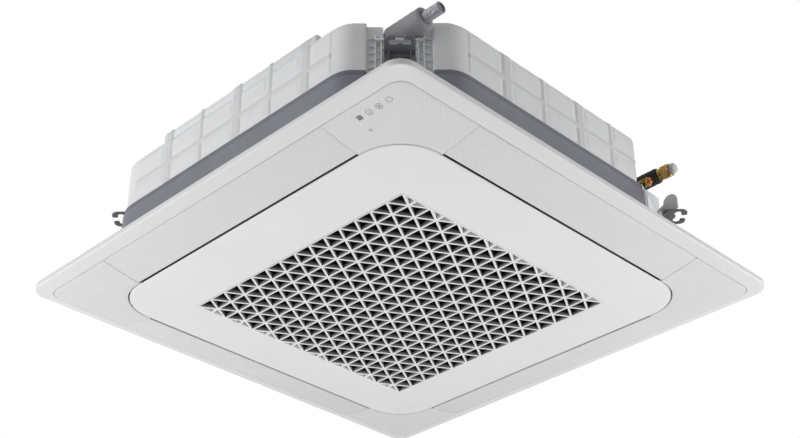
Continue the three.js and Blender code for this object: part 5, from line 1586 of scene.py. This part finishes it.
class CASSETTE_OT_stage(bpy.types.Operator):
    """Floor far below, even pale surroundings, six soft lamps and the camera"""
    bl_idname = "cassette.stage"
    bl_label = "Stage"

    def execute(self, context):
        scene, settings = context.scene, context.scene.cassette_stage
        scene.view_settings.view_transform = "Standard"
        far = 30000
        floor = Mould().put([(-far, -far, 0), (far, -far, 0), (far, far, 0), (-far, far, 0)],
                            [[0, 1, 2, 3]]).object("floor")
        floor.data.transform(Matrix.Translation((0, 0, settings.floor)))
        floor.data.materials.append(self.floor_finish())
        self.surroundings(scene, settings)
        middle = Vector((0, 0, 0.1))
        for name, place, size, power in (
                ("high_lamp", (-1.2, -3.0, 1.2), 1.8, 18), ("near_lamp", (-0.4, -3.2, -0.2), 1.8, 9),
                ("left_lamp", (-1.5, -1.5, -1.1), 1.4, 25), ("right_lamp", (1.5, 1.5, -1.1), 1.4, 23),
                ("low_lamp", (0, 0, -2.6), 1.8, 22), ("side_lamp", (1.75, 1.9, 0.15), 1.2, 12)):
            lamp = bpy.data.lights.new(name, "AREA")
            lamp.shape, lamp.size, lamp.energy = "DISK", size, power
            holder = linked(name, lamp)
            holder.location = place
            holder.rotation_euler = (middle - holder.location).to_track_quat("-Z", "Y").to_euler()
        scene.camera = self.camera(settings)
        return {"FINISHED"}

    def camera(self, settings):
        """Camera below the near corner, looking up."""
        yaw, pitch, roll = settings.yaw, settings.pitch, settings.roll
        ahead = Vector((-math.sin(yaw) * math.cos(pitch), math.cos(yaw) * math.cos(pitch), math.sin(pitch)))
        right = Vector((math.cos(yaw), math.sin(yaw), 0))
        up = right.cross(ahead)
        across = math.cos(roll) * right + math.sin(roll) * up
        up = math.cos(roll) * up - math.sin(roll) * right
        camera = linked("camera", bpy.data.cameras.new("camera"))
        camera.data.lens, camera.data.sensor_width = settings.lens, 36
        camera.matrix_world = Matrix.Translation((1.640, -1.6506, -1.2835)) @ Matrix(
            (across, up, -ahead)).transposed().to_4x4()
        return camera

    def floor_finish(self):
        """Pale matt floor with a faint cloudy tone."""
        material = bpy.data.materials.new("floor_pale")
        material.use_nodes = True
        wire = Wiring(material.node_tree)
        shader = material.node_tree.nodes["Principled BSDF"]
        place = wire.add("ShaderNodeTexCoord").outputs["Object"]
        cloudy = wire.noise(place, 0.4, 3.0)
        paint = wire.mix(cloudy, (0.80, 0.80, 0.80, 1), (0.83, 0.83, 0.83, 1))
        material.node_tree.links.new(paint, shader.inputs["Base Color"])
        shader.inputs["Roughness"].default_value = 0.9
        return material

    def surroundings(self, scene, settings):
        world = bpy.data.worlds.new("surroundings")
        world.use_nodes = True
        scene.world = world
        wire = Wiring(world.node_tree)
        path = wire.add("ShaderNodeLightPath").outputs
        seen = wire.math("MAXIMUM", path["Is Camera Ray"], wire.math(
            "MAXIMUM", path["Is Glossy Ray"], path["Is Transmission Ray"]))
        back = world.node_tree.nodes["Background"]
        back.inputs["Color"].default_value = (1, 1, 1, 1)
        world.node_tree.links.new(wire.fit(seen, 0, 1, settings.ambient, 1.0), back.inputs["Strength"])


# ---------------------------------------------------------------- add-on

SETTINGS = (("cassette_panel", PanelSizes), ("cassette_lattice", LatticeSizes), ("cassette_body", BodySizes),
            ("cassette_finishes", Finishes), ("cassette_stage", StageSettings))
STEPS = (CASSETTE_OT_panel_frame, CASSETTE_OT_blades, CASSETTE_OT_corner_covers, CASSETTE_OT_door,
         CASSETTE_OT_lattice, CASSETTE_OT_filter, CASSETTE_OT_upper_shell, CASSETTE_OT_base_tray,
         CASSETTE_OT_top_plate, CASSETTE_OT_hangers, CASSETTE_OT_pipes, CASSETTE_OT_pipe_guard,
         CASSETTE_OT_drain, CASSETTE_OT_screws, CASSETTE_OT_fan_motor, CASSETTE_OT_kept_parts,
         CASSETTE_OT_stage)
KINDS = (*[kind for _, kind in SETTINGS], *STEPS)


class CASSETTE_PT_build(bpy.types.Panel):
    """Sizes, finishes and building steps of the cassette"""
    bl_idname = "CASSETTE_PT_build"
    bl_label = "Ceiling cassette"
    bl_space_type = "VIEW_3D"
    bl_region_type = "UI"
    bl_category = "Cassette"

    def draw(self, context):
        for name, kind in SETTINGS:
            box = self.layout.box()
            for key in kind.__annotations__:
                box.prop(getattr(context.scene, name), key)
        for step in STEPS:
            self.layout.operator(step.bl_idname)


def register():
    for kind in (*KINDS, CASSETTE_PT_build):
        bpy.utils.register_class(kind)
    for name, kind in SETTINGS:
        setattr(bpy.types.Scene, name, bpy.props.PointerProperty(type=kind))


def unregister():
    for name, _ in SETTINGS:
        delattr(bpy.types.Scene, name)
    for kind in (CASSETTE_PT_build, *reversed(KINDS)):
        bpy.utils.unregister_class(kind)


def main():
    register()
    for step in STEPS:
        group, call = step.bl_idname.split(".")
        getattr(getattr(bpy.ops, group), call)()


if __name__ == "__main__":
    main()
